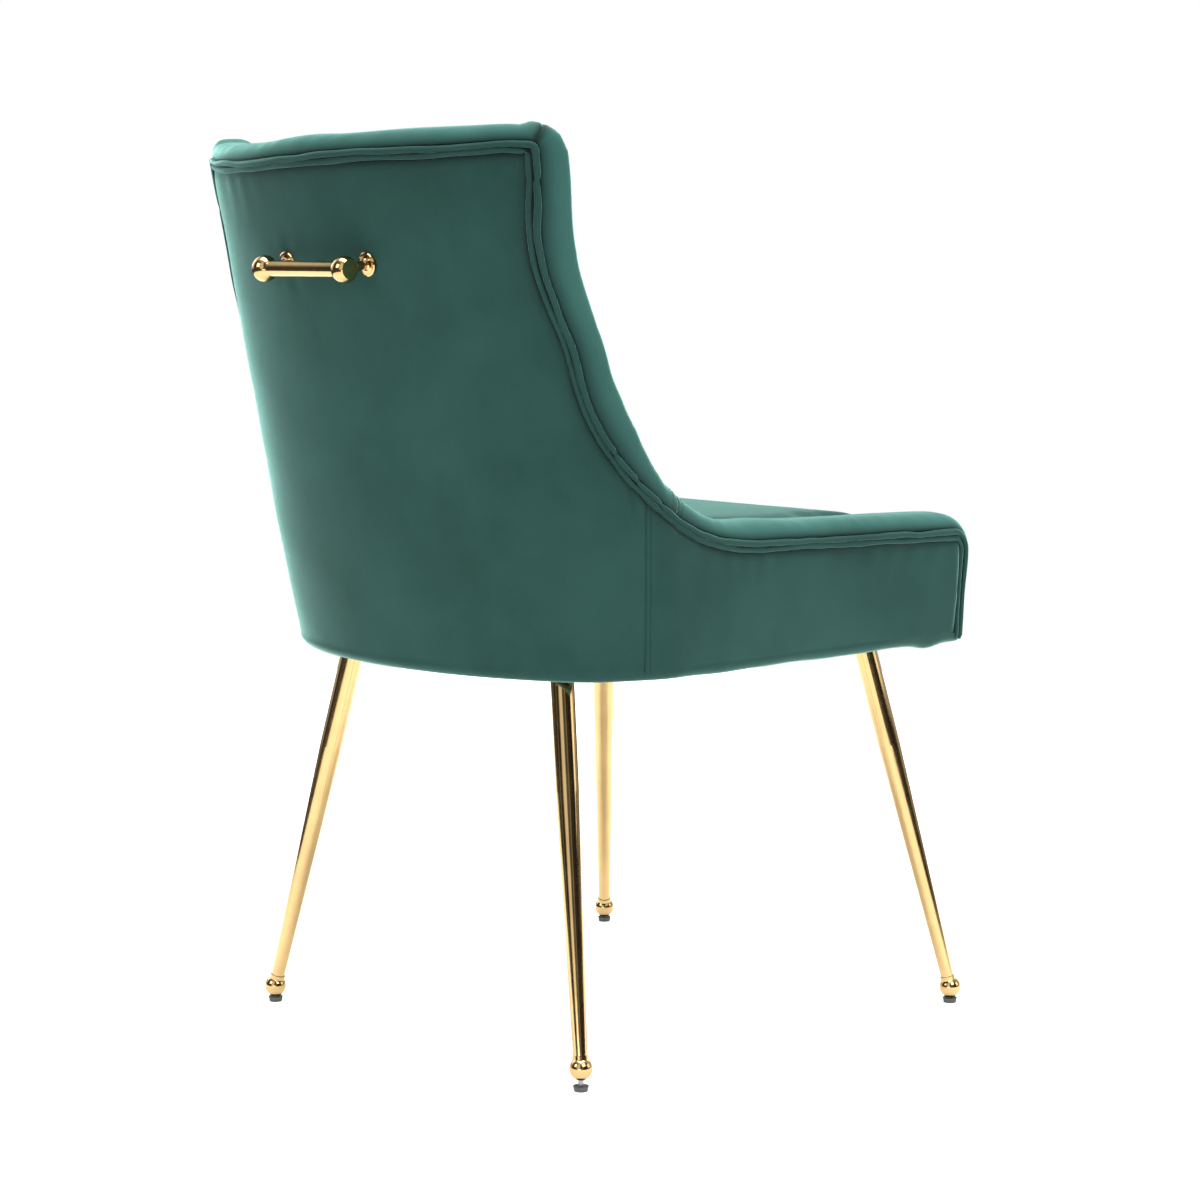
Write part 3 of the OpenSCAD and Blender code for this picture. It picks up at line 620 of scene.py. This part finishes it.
def cover_grid(u, rows, raised):
    """Points of an outer cover: columns at the signed distances u, from the hem up to the welt.
    raised(u, points, height) gives how far the cloth stands out of the shell's face."""
    side = np.where(u < 0, RIGHT, LEFT)
    foot = np.interp(np.abs(u), FOOT_S, FOOT_P)
    top = edge_at(np.abs(u), wobble(u) - INSET)
    grid, painted_crease_shade = [], []
    hem = [(0.0, HEM_R + HEM_IN), (0.0, HEM_R)]
    hem += [(HEM_R * (1 - math.sin(a)), HEM_R * (1 - math.cos(a))) for a in HEM_TURN]
    for rise, depth in hem:
        base = face(foot, LOW_Z + rise + 0 * foot, depth)
        z = LOW_Z + rise - bottom_sag(base[:, 1], side) * (1 - rise / HEM_R * 0.5)
        grid.append(mirror(face(foot, z, depth), side))
        # Painted shade on the rows turned in under the hem
        painted_crease_shade.append(0.5 * (depth > HEM_R * 0.5) + 0 * u)
    start = LOW_Z + HEM_R
    for v in np.linspace(0, 1, rows):
        q = np.stack([foot, start + 0 * foot], 1)
        q = q + (top - q) * v
        flat = mirror(face(q[:, 0], q[:, 1], 0), side)
        below_welt = np.maximum(0, from_edge(q, u) - WELT_WIDE)
        under = bell(below_welt, UNDER_FADE)
        at_seam = np.abs(np.abs(u) - S_SEAM) < SEAM_SLOT
        lift = raised(u, flat, v) * (1 - under) - TUCK_IN * under
        lift = np.where(at_seam, -TUCK_IN, lift)
        grid.append(mirror(face(q[:, 0], q[:, 1], -lift), side))
        # Painted shade: darker beside the welt, in the side seam and along the top stitches, where shade
        # falls in the hollows
        painted_shade_by_welt = 0.7 * np.exp(-below_welt / 0.003) + 0.28 * np.exp(-below_welt / 0.016)
        painted_shade_in_seam = bell(np.abs(u) - S_SEAM, 0.0012)
        painted_shade_at_stitches = bell(np.abs(u) - S_SEAM - STITCH_GAP, 0.0011)
        painted_crease_shade.append(painted_shade_by_welt + painted_shade_in_seam + 0.4 * painted_shade_at_stitches)
    return np.array(grid), np.array(painted_crease_shade)


def seam_dip(distance, depth, width=0.0022):
    """Depth by which cloth sinks into a seam that is distance away."""
    return depth * bell(distance, width)


# Soft unevenness of the edge line, as hand work leaves: (fraction of the way to the corner, rise)
TOP_WAVES = [(-1.6, 0.0015), (-1.0, 0.002), (-0.92, 0.005), (-0.65, 0.0035), (-0.25, 0.002),
             (0.0, 0.0005), (0.22, -0.0025), (0.43, -0.0055), (0.8, -0.005), (1.0, -0.003), (1.6, 0.0015)]


def wobble(u):
    """How far the whole edge, with its welt and roll, stands above its even line."""
    stops, rises = zip(*TOP_WAVES)
    knots = np.linspace(-1.6, 1.6, 161)
    even = np.interp(knots, stops, rises)
    window = np.hanning(15)
    even = np.convolve(np.pad(even, 7, "edge"), window / window.sum(), "valid")
    return np.interp(np.asarray(u) / S_CORNER, knots, even)


EDGE_LINES = {side: edge_at(EDGE_S[::3], wobble(side * EDGE_S[::3])) for side in (RIGHT, LEFT)}


def from_edge(q, u):
    """The distance of each place q from the edge line on its side, measured square to the line."""
    gaps = [np.linalg.norm(q[:, None] - EDGE_LINES[side][None], axis=2).min(1) for side in (RIGHT, LEFT)]
    return np.where(u < 0, *gaps)


def back_raise(u, points, v):
    """Relief of the outer back at the share v of its height."""
    lift = 0.0009 * waves(points, 0.16, 3) + 0.00025 * waves(points, 0.045, 4)
    lift += HIP_SWELL * bell(points[:, 2] - HIP_Z, HIP_R) * bell(np.abs(points[:, 0]) - HIP_X, HIP_R)
    gathers = np.sin(u / 0.0052 + 4 * waves(points, 0.07, 5)) * (0.6 + 0.6 * waves(points, 0.12, 6))
    lift += BACK_GATHER * gathers * math.exp(-(1 - v) / BACK_REACH)
    seam_gap = S_SEAM - np.abs(u)
    lift *= 1 - bell(seam_gap, 0.02)
    lift -= seam_dip(seam_gap, SEAM_DIP)
    # a fold beside the side seam, just under the welt, and the hollow next to it
    lift += 0.0022 * bell(seam_gap - 0.016, 0.007) * bell(v - 0.93, 0.10)
    lift -= 0.0020 * bell(seam_gap - 0.026, 0.006) * bell(v - 0.90, 0.12)
    for spot in ROSETTES:
        away = points - np.array(spot)
        r = np.linalg.norm(away, axis=1)
        angle = np.arctan2(away[:, 2], away[:, 0])
        lift -= DENT * bell(r, DENT_R)
        lift += PULL * np.cos(5 * angle + 0.7) * bell(r - PULL_AT, PULL_R)
    return lift - HEM_DRAW * (1 - v) ** 6


def side_raise(u, points, v):
    """Relief of a side cover at the share v of its height."""
    lift = 0.0011 * waves(points, 0.13, 11) + 0.00025 * waves(points, 0.04, 12)
    gathers = np.sin(u / 0.0048 + 4 * waves(points, 0.07, 13)) * (0.7 + 0.7 * waves(points, 0.09, 14))
    lift += SIDE_GATHER * gathers * math.exp(-(1 - v) / SIDE_REACH)
    lift += SIDE_SWELL * math.sin(math.pi * min(1, v * 1.05)) ** 0.7
    seam_gap = np.abs(u) - S_SEAM
    lift *= 1 - bell(seam_gap, 0.03)
    lift += 0.0004 * bell(seam_gap - 0.0034, 0.0022)
    return lift - seam_dip(seam_gap, SEAM_DIP) - seam_dip(seam_gap - STITCH_GAP, SEAM_DIP, 0.0016)


def spread(start, end, step, fine=()):
    """Values from start to end about a step apart, with finer ones round each value in fine."""
    values = list(np.arange(start, end, step)) + [end]
    for at in fine:
        values += list(at + np.arange(-0.012, 0.0121, 0.001)) + [at - 0.0006, at + 0.0006]
    values = np.unique(np.round([v for v in values if start <= v <= end], 5))
    keep = np.concatenate([[True], np.diff(values) > 0.0004])
    return values[keep]


BACK_ROWS, SIDE_ROWS = 110, 60


def make_outer_covers():
    u = spread(-S_SEAM, S_SEAM, 0.0045, (-S_SEAM, S_SEAM))
    grid, painted_crease_shade = cover_grid(u, BACK_ROWS, back_raise)
    back = sheet_piece("outer_back_panel", grid, COVER_T, painted_crease_shade=painted_crease_shade)
    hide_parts("outer_back_cover")
    u = spread(S_SEAM, S_FRONT_LOW, 0.004, (S_SEAM,))
    grid, painted_crease_shade = cover_grid(u, SIDE_ROWS, side_raise)
    left = sheet_piece("side_panel_left", grid, COVER_T, painted_crease_shade=painted_crease_shade)
    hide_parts("side_cover_left")
    grid, painted_crease_shade = cover_grid(-u[::-1], SIDE_ROWS, side_raise)
    right = sheet_piece("side_panel_right", grid, COVER_T, painted_crease_shade=painted_crease_shade)
    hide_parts("side_cover_right")


# ---- Boxing band ------------------------------------------------------------------------------
# Height of the roll as a multiple of ROLL: (distance along the edge, share)
FULLNESS = [(0, 1.02), (S_CORNER - 0.035, 0.90), (S_CORNER - 0.008, 0.90), (S_CORNER - 0.004, 1.00),
            (S_CORNER, 1.32), (S_CORNER + 0.003, 1.75), (S_CORNER + 0.008, 1.95),
            (S_CORNER + 0.024, 1.97), (s_below(0.784), 2.05), (s_below(0.749), 2.17),
            (s_below(0.713), 2.10), (s_below(0.678), 2.02), (s_below(0.643), 2.25),
            (s_below(0.607), 2.50), (s_below(0.57), 2.42), (s_below(0.535), 1.75),
            (s_below(0.512), 1.25), (s_below(0.494), 1.05), (S_FRONT - 0.01, 0.95),
            (S_FRONT_LOW + 0.015, 0.45)]


def roll_height(f, u):
    """Height of the padded roll at the fraction f across the wall, by the distance along the edge."""
    full = np.interp(np.abs(u), *zip(*FULLNESS))
    return ROLL * full * np.maximum(0, 1 - np.abs(2 * f - 1) ** 3.2) ** 0.54


# Seams across the boxing: (depth, width). A seam deeper than a row of stitches also has a fold.
STITCH_DIP = 0.0006
MITRE = (0.0007, 0.0016)
JOINT = (0.0008, 0.0016)
STITCH = (STITCH_DIP, 0.0014)
SEAM_FOLD = 0.0007
BAND_IN = 0.0008      # the boxing starts this far inside the outer face
BAND_GATHER, BAND_REACH = 0.0005, 0.16


def band_depth(f):
    """The depth of the boxing at the fraction f across the wall."""
    return BAND_IN + (WALL - BAND_IN) * f


def band_grid(u, seams):
    """Points of the boxing at the distances u; seams is a list of (distance, depth, width)."""
    rows = np.concatenate([[0], 0.5 - 0.5 * np.cos(np.linspace(0.12, math.pi - 0.12, 26)), [1]])
    grid, painted_crease_shade = [], []
    for f in rows:
        k = roll_height(f, u)
        d = band_depth(f) + 0 * u
        base = place(u, k, d)
        soft = 0.0006 * waves(base, 0.09, 21) + 0.0005 * waves(base, 0.032, 22)
        crest = math.sin(math.pi * f) ** 0.5 if 0 < f < 1 else 0
        gather = np.sin(u / 0.0042 + 3 * waves(base, 0.06, 23)) * bell(f, BAND_REACH)
        gather += np.sin(u / 0.0047 + 3 * waves(base, 0.06, 24)) * bell(1 - f, BAND_REACH)
        k = k + soft * crest + BAND_GATHER * gather * min(1, 8 * f, 8 * (1 - f))
        # Painted shade: darker along both edges of the band, by the welt and by the pad
        dark = 0.8 * math.exp(-f / 0.02) + 0.6 * math.exp(-(1 - f) / 0.04) + 0 * u
        for seam, depth, width in seams:
            k = k - seam_dip(u - seam, depth, width) * crest
            sewn = depth > STITCH_DIP
            if sewn:
                k = k - SEAM_FOLD * crest * (np.abs(u - seam) < SEAM_SLOT)
            # Painted shade in each seam, stronger where the seam is sewn
            dark = dark + (1.0 if sewn else 0.35) * bell(u - seam, 0.7 * width)
        grid.append(place(u, k + wobble(u), d))
        painted_crease_shade.append(dark)
    return np.array(grid), np.array(painted_crease_shade)


def make_boxing():
    """Five panels with mitred top corners and a stitched joint in each side."""
    def panel(name, u, seams):
        grid, painted_crease_shade = band_grid(np.sort(u), seams)
        # The band takes the lighter copy of the velvet, whose colour carries painted light
        return sheet_piece(name, grid, COVER_T, VELVET_ROLL_PAINTED_LIGHT, flip=True, painted_crease_shade=painted_crease_shade)

    for side, word in ((LEFT, "left"), (RIGHT, "right")):
        u = side * spread(S_CORNER, S_JOINT, 0.004, (S_CORNER, S_JOINT))
        joint = (side * S_JOINT, *JOINT)
        upper, lower = [(side * (S_JOINT + gap), *STITCH) for gap in (-STITCH_GAP, STITCH_GAP)]
        panel(f"boxing_side_{word}", u, [(side * S_CORNER, *MITRE), joint, upper])
        panel(f"boxing_arm_{word}", side * spread(S_JOINT, S_END, 0.004, (S_JOINT,)), [joint, lower])
    u = spread(-S_CORNER, S_CORNER, 0.004, (-S_CORNER, S_CORNER))
    top = panel("boxing_top", u, [(-S_CORNER, *MITRE), (S_CORNER, *MITRE)])
    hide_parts("boxing_band", "edge_roll")


# ---- Double welt ------------------------------------------------------------------------------
CORD_R = {"inner": 0.0028, "outer": 0.0024}
CORD_K = {"inner": -0.0028, "outer": -0.0087}   # places of the cords below the edge line
CORD_WIDE, CORD_HIGH = 1.04, 0.92               # a cord is pressed a little flat
CORD_SINK = 0.0003
CORNER_GAP, SIDE_GAP = 0.0075, 0.0055           # the outer cord is cut at the top corners
# Where the welt was tucked while it was stapled on: (distance along the edge, how deep)
TUCKS = {RIGHT: [(S_CORNER + 0.030, 0.30), (S_SEAM - 0.046, 0.38), (S_SEAM - 0.012, 0.42),
                 (S_SEAM + 0.023, 0.40)],
         LEFT: [(S_CORNER + 0.052, 0.30), (S_SEAM - 0.030, 0.38), (S_SEAM + 0.010, 0.40)]}


def welt_piece(name, start, end, cord, seed):
    """One length of cord, a little uneven, and pinched at the tucks."""
    u = np.arange(start, end, 0.002)
    here = place(u, 0 * u, 0 * u)
    inner = cord == "inner"
    k = CORD_K[cord] + wobble(u)
    k = k + 0.0007 * waves(here, 0.05, seed) + 0.0003 * waves(here, 0.018, seed + 1)
    size = 1 + 0.07 * waves(here, 0.035, seed + 2)
    lift = 0.0003 * waves(here, 0.04, seed + 3) - CORD_SINK
    for side, tucks in TUCKS.items():
        for at, depth in tucks:
            gap = u - side * at
            size = size - (depth if inner else depth * 0.45) * bell(gap, 0.003)
            k = k + 0.0008 * np.tanh(gap / 0.003) * bell(gap, 0.012) * (1 if inner else -0.4)
    ends = np.minimum(u - u[0], u[-1] - u) / 0.004
    size = size * np.clip(ends, 0.15, 1) ** 0.5
    centres = place(u, k, lift)
    outward = unit(place(u, k, lift - 0.004) - centres)
    _, across, out = route_frame(centres, outward)
    radii = CORD_R[cord] * np.stack([size * CORD_WIDE, size * CORD_HIGH], 1)
    return tube_piece(name, centres, across, out, radii, VELVET, sides=14)


def make_welts():
    inner = welt_piece("welt_inner_cord", -S_END, S_END, "inner", 31)
    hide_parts("inner_welt")
    top = welt_piece("welt_outer_top", -S_CORNER + CORNER_GAP, S_CORNER - CORNER_GAP, "outer", 41)
    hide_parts("outer_welt")
    welt_piece("welt_outer_left", S_CORNER + SIDE_GAP, S_END, "outer", 51)
    welt_piece("welt_outer_right", -S_END, -S_CORNER - SIDE_GAP, "outer", 61)


# ---- Stitches ---------------------------------------------------------------------------------
STITCH_PITCH = 0.0041
STITCH_LONG = 0.0029
THREAD_R = 0.00055
THREAD_SIDES = 6
STITCH_RISE = np.array([-0.0006, 0.0001, 0.0003, 0.0001, -0.0006])   # how a stitch arches along itself


def stitch_row(name, route, outward):
    """A row of separate stitches along a route of closely spaced points."""
    length = np.concatenate([[0], np.cumsum(np.linalg.norm(np.diff(route, axis=0), axis=1))])
    points, faces = [], []
    for start in np.arange(0.001, length[-1] - STITCH_LONG, STITCH_PITCH):
        s = start + STITCH_LONG * np.linspace(0, 1, len(STITCH_RISE))
        centres = np.stack([np.interp(s, length, route[:, k]) for k in range(3)], 1)
        out = unit(np.stack([np.interp(s, length, outward[:, k]) for k in range(3)], 1))
        centres = centres + out * STITCH_RISE[:, None]
        _, across, up = route_frame(centres, out)
        angles = np.linspace(0, 2 * math.pi, THREAD_SIDES, endpoint=False)
        ring = (centres[:, None] + THREAD_R * (across[:, None] * np.cos(angles)[:, None]
                + up[:, None] * np.sin(angles)[:, None]))
        base = len(points)
        points += list(ring.reshape(-1, 3))
        faces += [tuple(base + f) for f in grid_faces(len(STITCH_RISE), THREAD_SIDES, wrap_columns=True)]
        last = base + (len(STITCH_RISE) - 1) * THREAD_SIDES
        faces.append(tuple(base + i for i in range(THREAD_SIDES - 1, -1, -1)))
        faces.append(tuple(last + i for i in range(THREAD_SIDES)))
    return new_object(name, points, faces, THREAD)


def make_stitches():
    """Top stitches beside each side seam and on both sides of each boxing joint."""
    for side, word in ((LEFT, "left"), (RIGHT, "right")):
        rows = np.linspace(0.03, 0.95, 60)
        u = side * (S_SEAM + STITCH_GAP) + 0 * rows
        foot = np.interp(np.abs(u), FOOT_S, FOOT_P)
        q = np.stack([foot, LOW_Z + HEM_R + 0 * foot], 1)
        q = q + (edge_at(np.abs(u), -INSET + 0 * u) - q) * rows[:, None]
        line = mirror(face(q[:, 0], q[:, 1], 0.0), side)
        outward = mirror(face(q[:, 0], q[:, 1], -0.004), side) - line
        stitch_row(f"topstitch_side_{word}", line, outward)
        for offset in (-STITCH_GAP, STITCH_GAP):
            f = np.linspace(0.07, 0.93, 40)
            u = side * (S_JOINT + offset) + 0 * f
            lift = roll_height(f, u) + wobble(u) - 0.0002
            line = place(u, lift, band_depth(f))
            bed = place(u, lift * 0, WALL / 2 + 0 * f)
            hand = "upper" if offset < 0 else "lower"
            stitch_row(f"topstitch_boxing_{hand}_{word}", line, line - bed)


# ---- Padded inside: cloth simulation ----------------------------------------------------------
VOXEL = 0.006
FRAMES = 20
PRESSURE = 4.0


def closed_piece(name, points, faces):
    """A closed body with its doubled points joined and its normals outwards."""
    made = new_object(name, points, faces, VELVET)
    shell = bmesh.new()
    shell.from_mesh(made.data)
    bmesh.ops.remove_doubles(shell, verts=shell.verts, dist=1e-5)
    bmesh.ops.recalc_face_normals(shell, faces=shell.faces)
    shell.to_mesh(made.data)
    shell.free()
    return made


def apply_modifier(piece, kind, **settings):
    bpy.context.view_layer.objects.active = piece
    made = piece.modifiers.new(kind.lower(), kind)
    for key, value in settings.items():
        setattr(made, key, value)
    bpy.ops.object.modifier_apply(modifier=made.name)


def inflate(piece, held, cap):
    """Voxel remesh, then a pressure cloth simulation. held(points) is True where the cloth is fixed,
    and no point moves further than cap."""
    apply_modifier(piece, "REMESH", mode="VOXEL", voxel_size=VOXEL)
    apply_modifier(piece, "SMOOTH", factor=0.5, iterations=4)
    rest = np.array([v.co for v in piece.data.vertices])
    pinned = held(rest)
    group = piece.vertex_groups.new(name="held")
    group.add([int(i) for i in np.nonzero(pinned)[0]], 1.0, "REPLACE")
    cloth = piece.modifiers.new("cloth", "CLOTH")
    cloth.settings.use_pressure = True
    cloth.settings.uniform_pressure_force = PRESSURE
    cloth.settings.effector_weights.gravity = 0
    cloth.settings.vertex_group_mass = "held"
    cloth.settings.tension_stiffness = 18
    cloth.settings.bending_stiffness = 1.2
    cloth.settings.quality = 4
    cloth.point_cache.frame_start = 1
    cloth.point_cache.frame_end = FRAMES
    scene = bpy.context.scene
    for number in range(1, FRAMES + 1):
        scene.frame_set(number)
    evaluated = piece.evaluated_get(bpy.context.evaluated_depsgraph_get())
    moved = np.array([v.co for v in evaluated.data.vertices])
    piece.modifiers.remove(cloth)
    piece.vertex_groups.clear()
    shift = moved - rest
    far = np.linalg.norm(shift, axis=1, keepdims=True)
    moved = rest + shift * np.minimum(1, cap / np.maximum(far, 1e-9))
    piece.data.vertices.foreach_set("co", moved.astype(np.float32).ravel())
    piece.data.update()
    scene.frame_set(1)
    piece.data.polygons.foreach_set("use_smooth", [True] * len(piece.data.polygons))


def add_subdivision(piece):
    made = piece.modifiers.new("subdivision", "SUBSURF")
    made.levels = made.render_levels = 1


PAD_TUCK = 0.009      # the pad reaches this far under the boxing
PAD_D = WALL - 0.003  # depth of its inner face at the seam
PAD_T = 0.015
PAD_CROWN = 0.011     # full crown, over a pad higher than PAD_FULL
PAD_FULL = 0.15
PAD_LOW_Z = SEAT_EDGE_Z - 0.030
PAD_ROWS, PAD_BACK_ROWS, PAD_COLUMNS = 40, 12, 260
SEWN_R = 0.010        # points this near the seam are held
PAD_CAP, SEAT_CAP = 0.012, 0.010


def make_back_pad():
    """The inner back: a pad with a crowned inner face, sewn to the boxing along its edge."""
    u = np.linspace(-S_FRONT_LOW, S_FRONT_LOW, PAD_COLUMNS)
    side = np.where(u < 0, RIGHT, LEFT)
    foot = np.interp(np.abs(u), FOOT_S, FOOT_P)
    top = edge_at(np.abs(u), wobble(u) + PAD_TUCK)
    start = foot[:, None] + (top[:, :1] - foot[:, None]) * (PAD_LOW_Z - LOW_Z) / (top[:, 1:] - LOW_Z)
    low = np.concatenate([start, PAD_LOW_Z + 0 * start], 1)
    ring = []
    for v in np.linspace(0, 1, PAD_ROWS):
        q = low + (top - low) * v
        crown = PAD_CROWN * (1 - (2 * v - 1) ** 4) * np.clip((top[:, 1] - PAD_LOW_Z) / PAD_FULL, 0, 1)
        ring.append(mirror(face(q[:, 0], q[:, 1], PAD_D + crown), side))
    for v in np.linspace(1, 0, PAD_BACK_ROWS):
        q = low + (top - low) * v
        ring.append(mirror(face(q[:, 0], q[:, 1], PAD_D - PAD_T), side))
    ring = np.array(ring)
    rows, columns = ring.shape[:2]
    faces = [tuple(f) for f in grid_faces(rows, columns, wrap_rows=True)]
    faces.append(tuple(i * columns for i in range(rows)))
    faces.append(tuple(i * columns + columns - 1 for i in range(rows - 1, -1, -1)))
    pad = closed_piece("inner_back_pad", ring.reshape(-1, 3), faces)
    seam = place(u, wobble(u) + 0.002, PAD_D)

    def held(points):
        near = np.full(len(points), 1.0)
        for block in np.array_split(np.arange(len(points)), 40):
            near[block] = np.linalg.norm(points[block, None] - seam[None], axis=2).min(1)
        return (near < SEWN_R) | (points[:, 2] < PAD_LOW_Z + 0.012)

    inflate(pad, held, PAD_CAP)
    add_subdivision(pad)
    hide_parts("inner_back_cover")


def seat_outline(d, z, front_in, count=200):
    """Plan outline inside the walls, from the left front round the back to the right front."""
    front = float(plan_at(FRONT_Y + front_in, z))
    part = count // 2
    p = np.concatenate([np.linspace(front, 0, part, endpoint=False), np.linspace(0, QUARTER, part)])
    half = face(p, z + 0 * p, d)
    return np.concatenate([half, mirror(half[-2::-1], RIGHT)])


SEAT_D = WALL - 0.001           # the seat fills the space between the walls
SEAT_LOW_Z = SEAT_EDGE_Z - 0.040
SEAT_SHOULDER_Z = SEAT_EDGE_Z - 0.004
SEAT_WALL_TOP_Z = SEAT_EDGE_Z - 0.008
SEAT_CROWN = SEAT_CROWN_Z - 0.009 - SEAT_EDGE_Z
SEAT_MIDDLE = np.array([0, -0.06, 0])


def make_seat():
    """The seat: a crowned cushion between the walls, pulled down into its seams all round."""
    outline = seat_outline(SEAT_D, SEAT_EDGE_Z, 0.004)
    loop = np.concatenate([outline, np.linspace(outline[-1], outline[0], 60)[1:-1]])
    rings = []
    for z in np.linspace(SEAT_LOW_Z, SEAT_WALL_TOP_Z, 7):
        ring = loop.copy()
        ring[:, 2] = z
        rings.append(ring)
    for s in np.linspace(0.985, 0.03, 40):
        ring = SEAT_MIDDLE + (loop - SEAT_MIDDLE) * s
        ring[:, 2] = SEAT_SHOULDER_Z + SEAT_CROWN * (1 - s ** 3.2)
        rings.append(ring)
    rings = np.array(rings)
    rows, columns = rings.shape[:2]
    faces = [tuple(f) for f in grid_faces(rows, columns, wrap_columns=True)]
    faces.append(tuple(range(columns - 1, -1, -1)))
    faces.append(tuple((rows - 1) * columns + i for i in range(columns)))
    seat = closed_piece("seat_cushion", rings.reshape(-1, 3), faces)
    inflate(seat, lambda points: points[:, 2] < SEAT_EDGE_Z - 0.012, SEAT_CAP)
    add_subdivision(seat)
    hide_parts("seat_cover", "seat_foam")


BORDER_SWELL = 0.0075
BORDER_REACH = 0.006            # its ends go this far behind the arm fronts
BORDER_TURN, BORDER_FADE = 0.0075, 0.006
BORDER_ROWS, BORDER_COLUMNS = 40, 120


def make_front_border():
    """The padded panel below the front of the seat, between the arm fronts."""
    half = float(face(plan_at(FRONT_Y, LOW_Z), SEAT_EDGE_Z, WALL)[0]) + BORDER_REACH
    top_z = SEAT_EDGE_Z - 0.001
    x = np.linspace(-half, half, BORDER_COLUMNS)
    middle = 1 - np.exp(-np.maximum(0, half - BORDER_TURN - np.abs(x)) / BORDER_FADE)
    grid = []
    for v in np.linspace(-0.12, 1.08, BORDER_ROWS):
        inner = np.clip(v, 0, 1)
        z = LOW_Z + (top_z - LOW_Z) * inner
        swell = BORDER_SWELL * max(0, 1 - abs(2 * inner - 1) ** 4) ** 0.6
        tuck = 0.11 * max(0, -v) + 0.12 * max(0, v - 1)
        base = np.stack([x, FRONT_Y + 0 * x, z + 0 * x], 1)
        soft = 0.0009 * waves(base, 0.09, 71) + 0.0004 * waves(base, 0.03, 72)
        out = (swell + soft * min(1, 6 * inner, 6 * (1 - inner))) * middle - 0.0020 * (1 - middle)
        grid.append(np.stack([x, FRONT_Y - 0.0005 - out + tuck, z + 0 * x], 1))
    border = sheet_piece("front_border_panel", np.array(grid), COVER_T)
    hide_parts("front_border")


# ---- Underside --------------------------------------------------------------------------------
STAPLE_PITCH, STAPLE_WIDE, STAPLE_LEG, STAPLE_R = 0.034, 0.010, 0.003, 0.00045
STAPLE_D, STAPLE_FRONT = 0.031, 0.022


def make_staples():
    """Wire staples that hold the dust cover, all round its edge."""
    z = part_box("dust_cover")[0].z - 0.0004
    outline = seat_outline(STAPLE_D, LOW_Z, STAPLE_FRONT, 300)
    loop = np.concatenate([outline, np.linspace(outline[-1], outline[0], 120)[1:-1]])
    loop[:, 2] = z
    length = np.concatenate([[0], np.cumsum(np.linalg.norm(np.diff(loop, axis=0), axis=1))])
    up = np.array([0, 0, 1.0])
    points, faces = [], []
    for start in np.arange(0.01, length[-1] - 0.02, STAPLE_PITCH):
        legs = [start, start + STAPLE_WIDE]
        a, b = np.stack([np.interp(legs, length, loop[:, k]) for k in range(3)], 1)
        along = unit(b - a)
        across = np.array([-along[1], along[0], 0])
        base = len(points)
        for q in (a + up * STAPLE_LEG, a, b, b + up * STAPLE_LEG):
            points += [q + across * STAPLE_R, q - up * STAPLE_R, q - across * STAPLE_R, q + up * STAPLE_R]
        faces += [tuple(base + f) for f in grid_faces(4, 4, wrap_columns=True)]
        faces += [(base, base + 1, base + 2, base + 3), (base + 15, base + 14, base + 13, base + 12)]
    new_object("dust_cover_staples", points, faces, STAPLE)


make_outer_covers()
make_boxing()
make_welts()
make_stitches()
make_back_pad()
make_seat()
make_front_border()
make_staples()
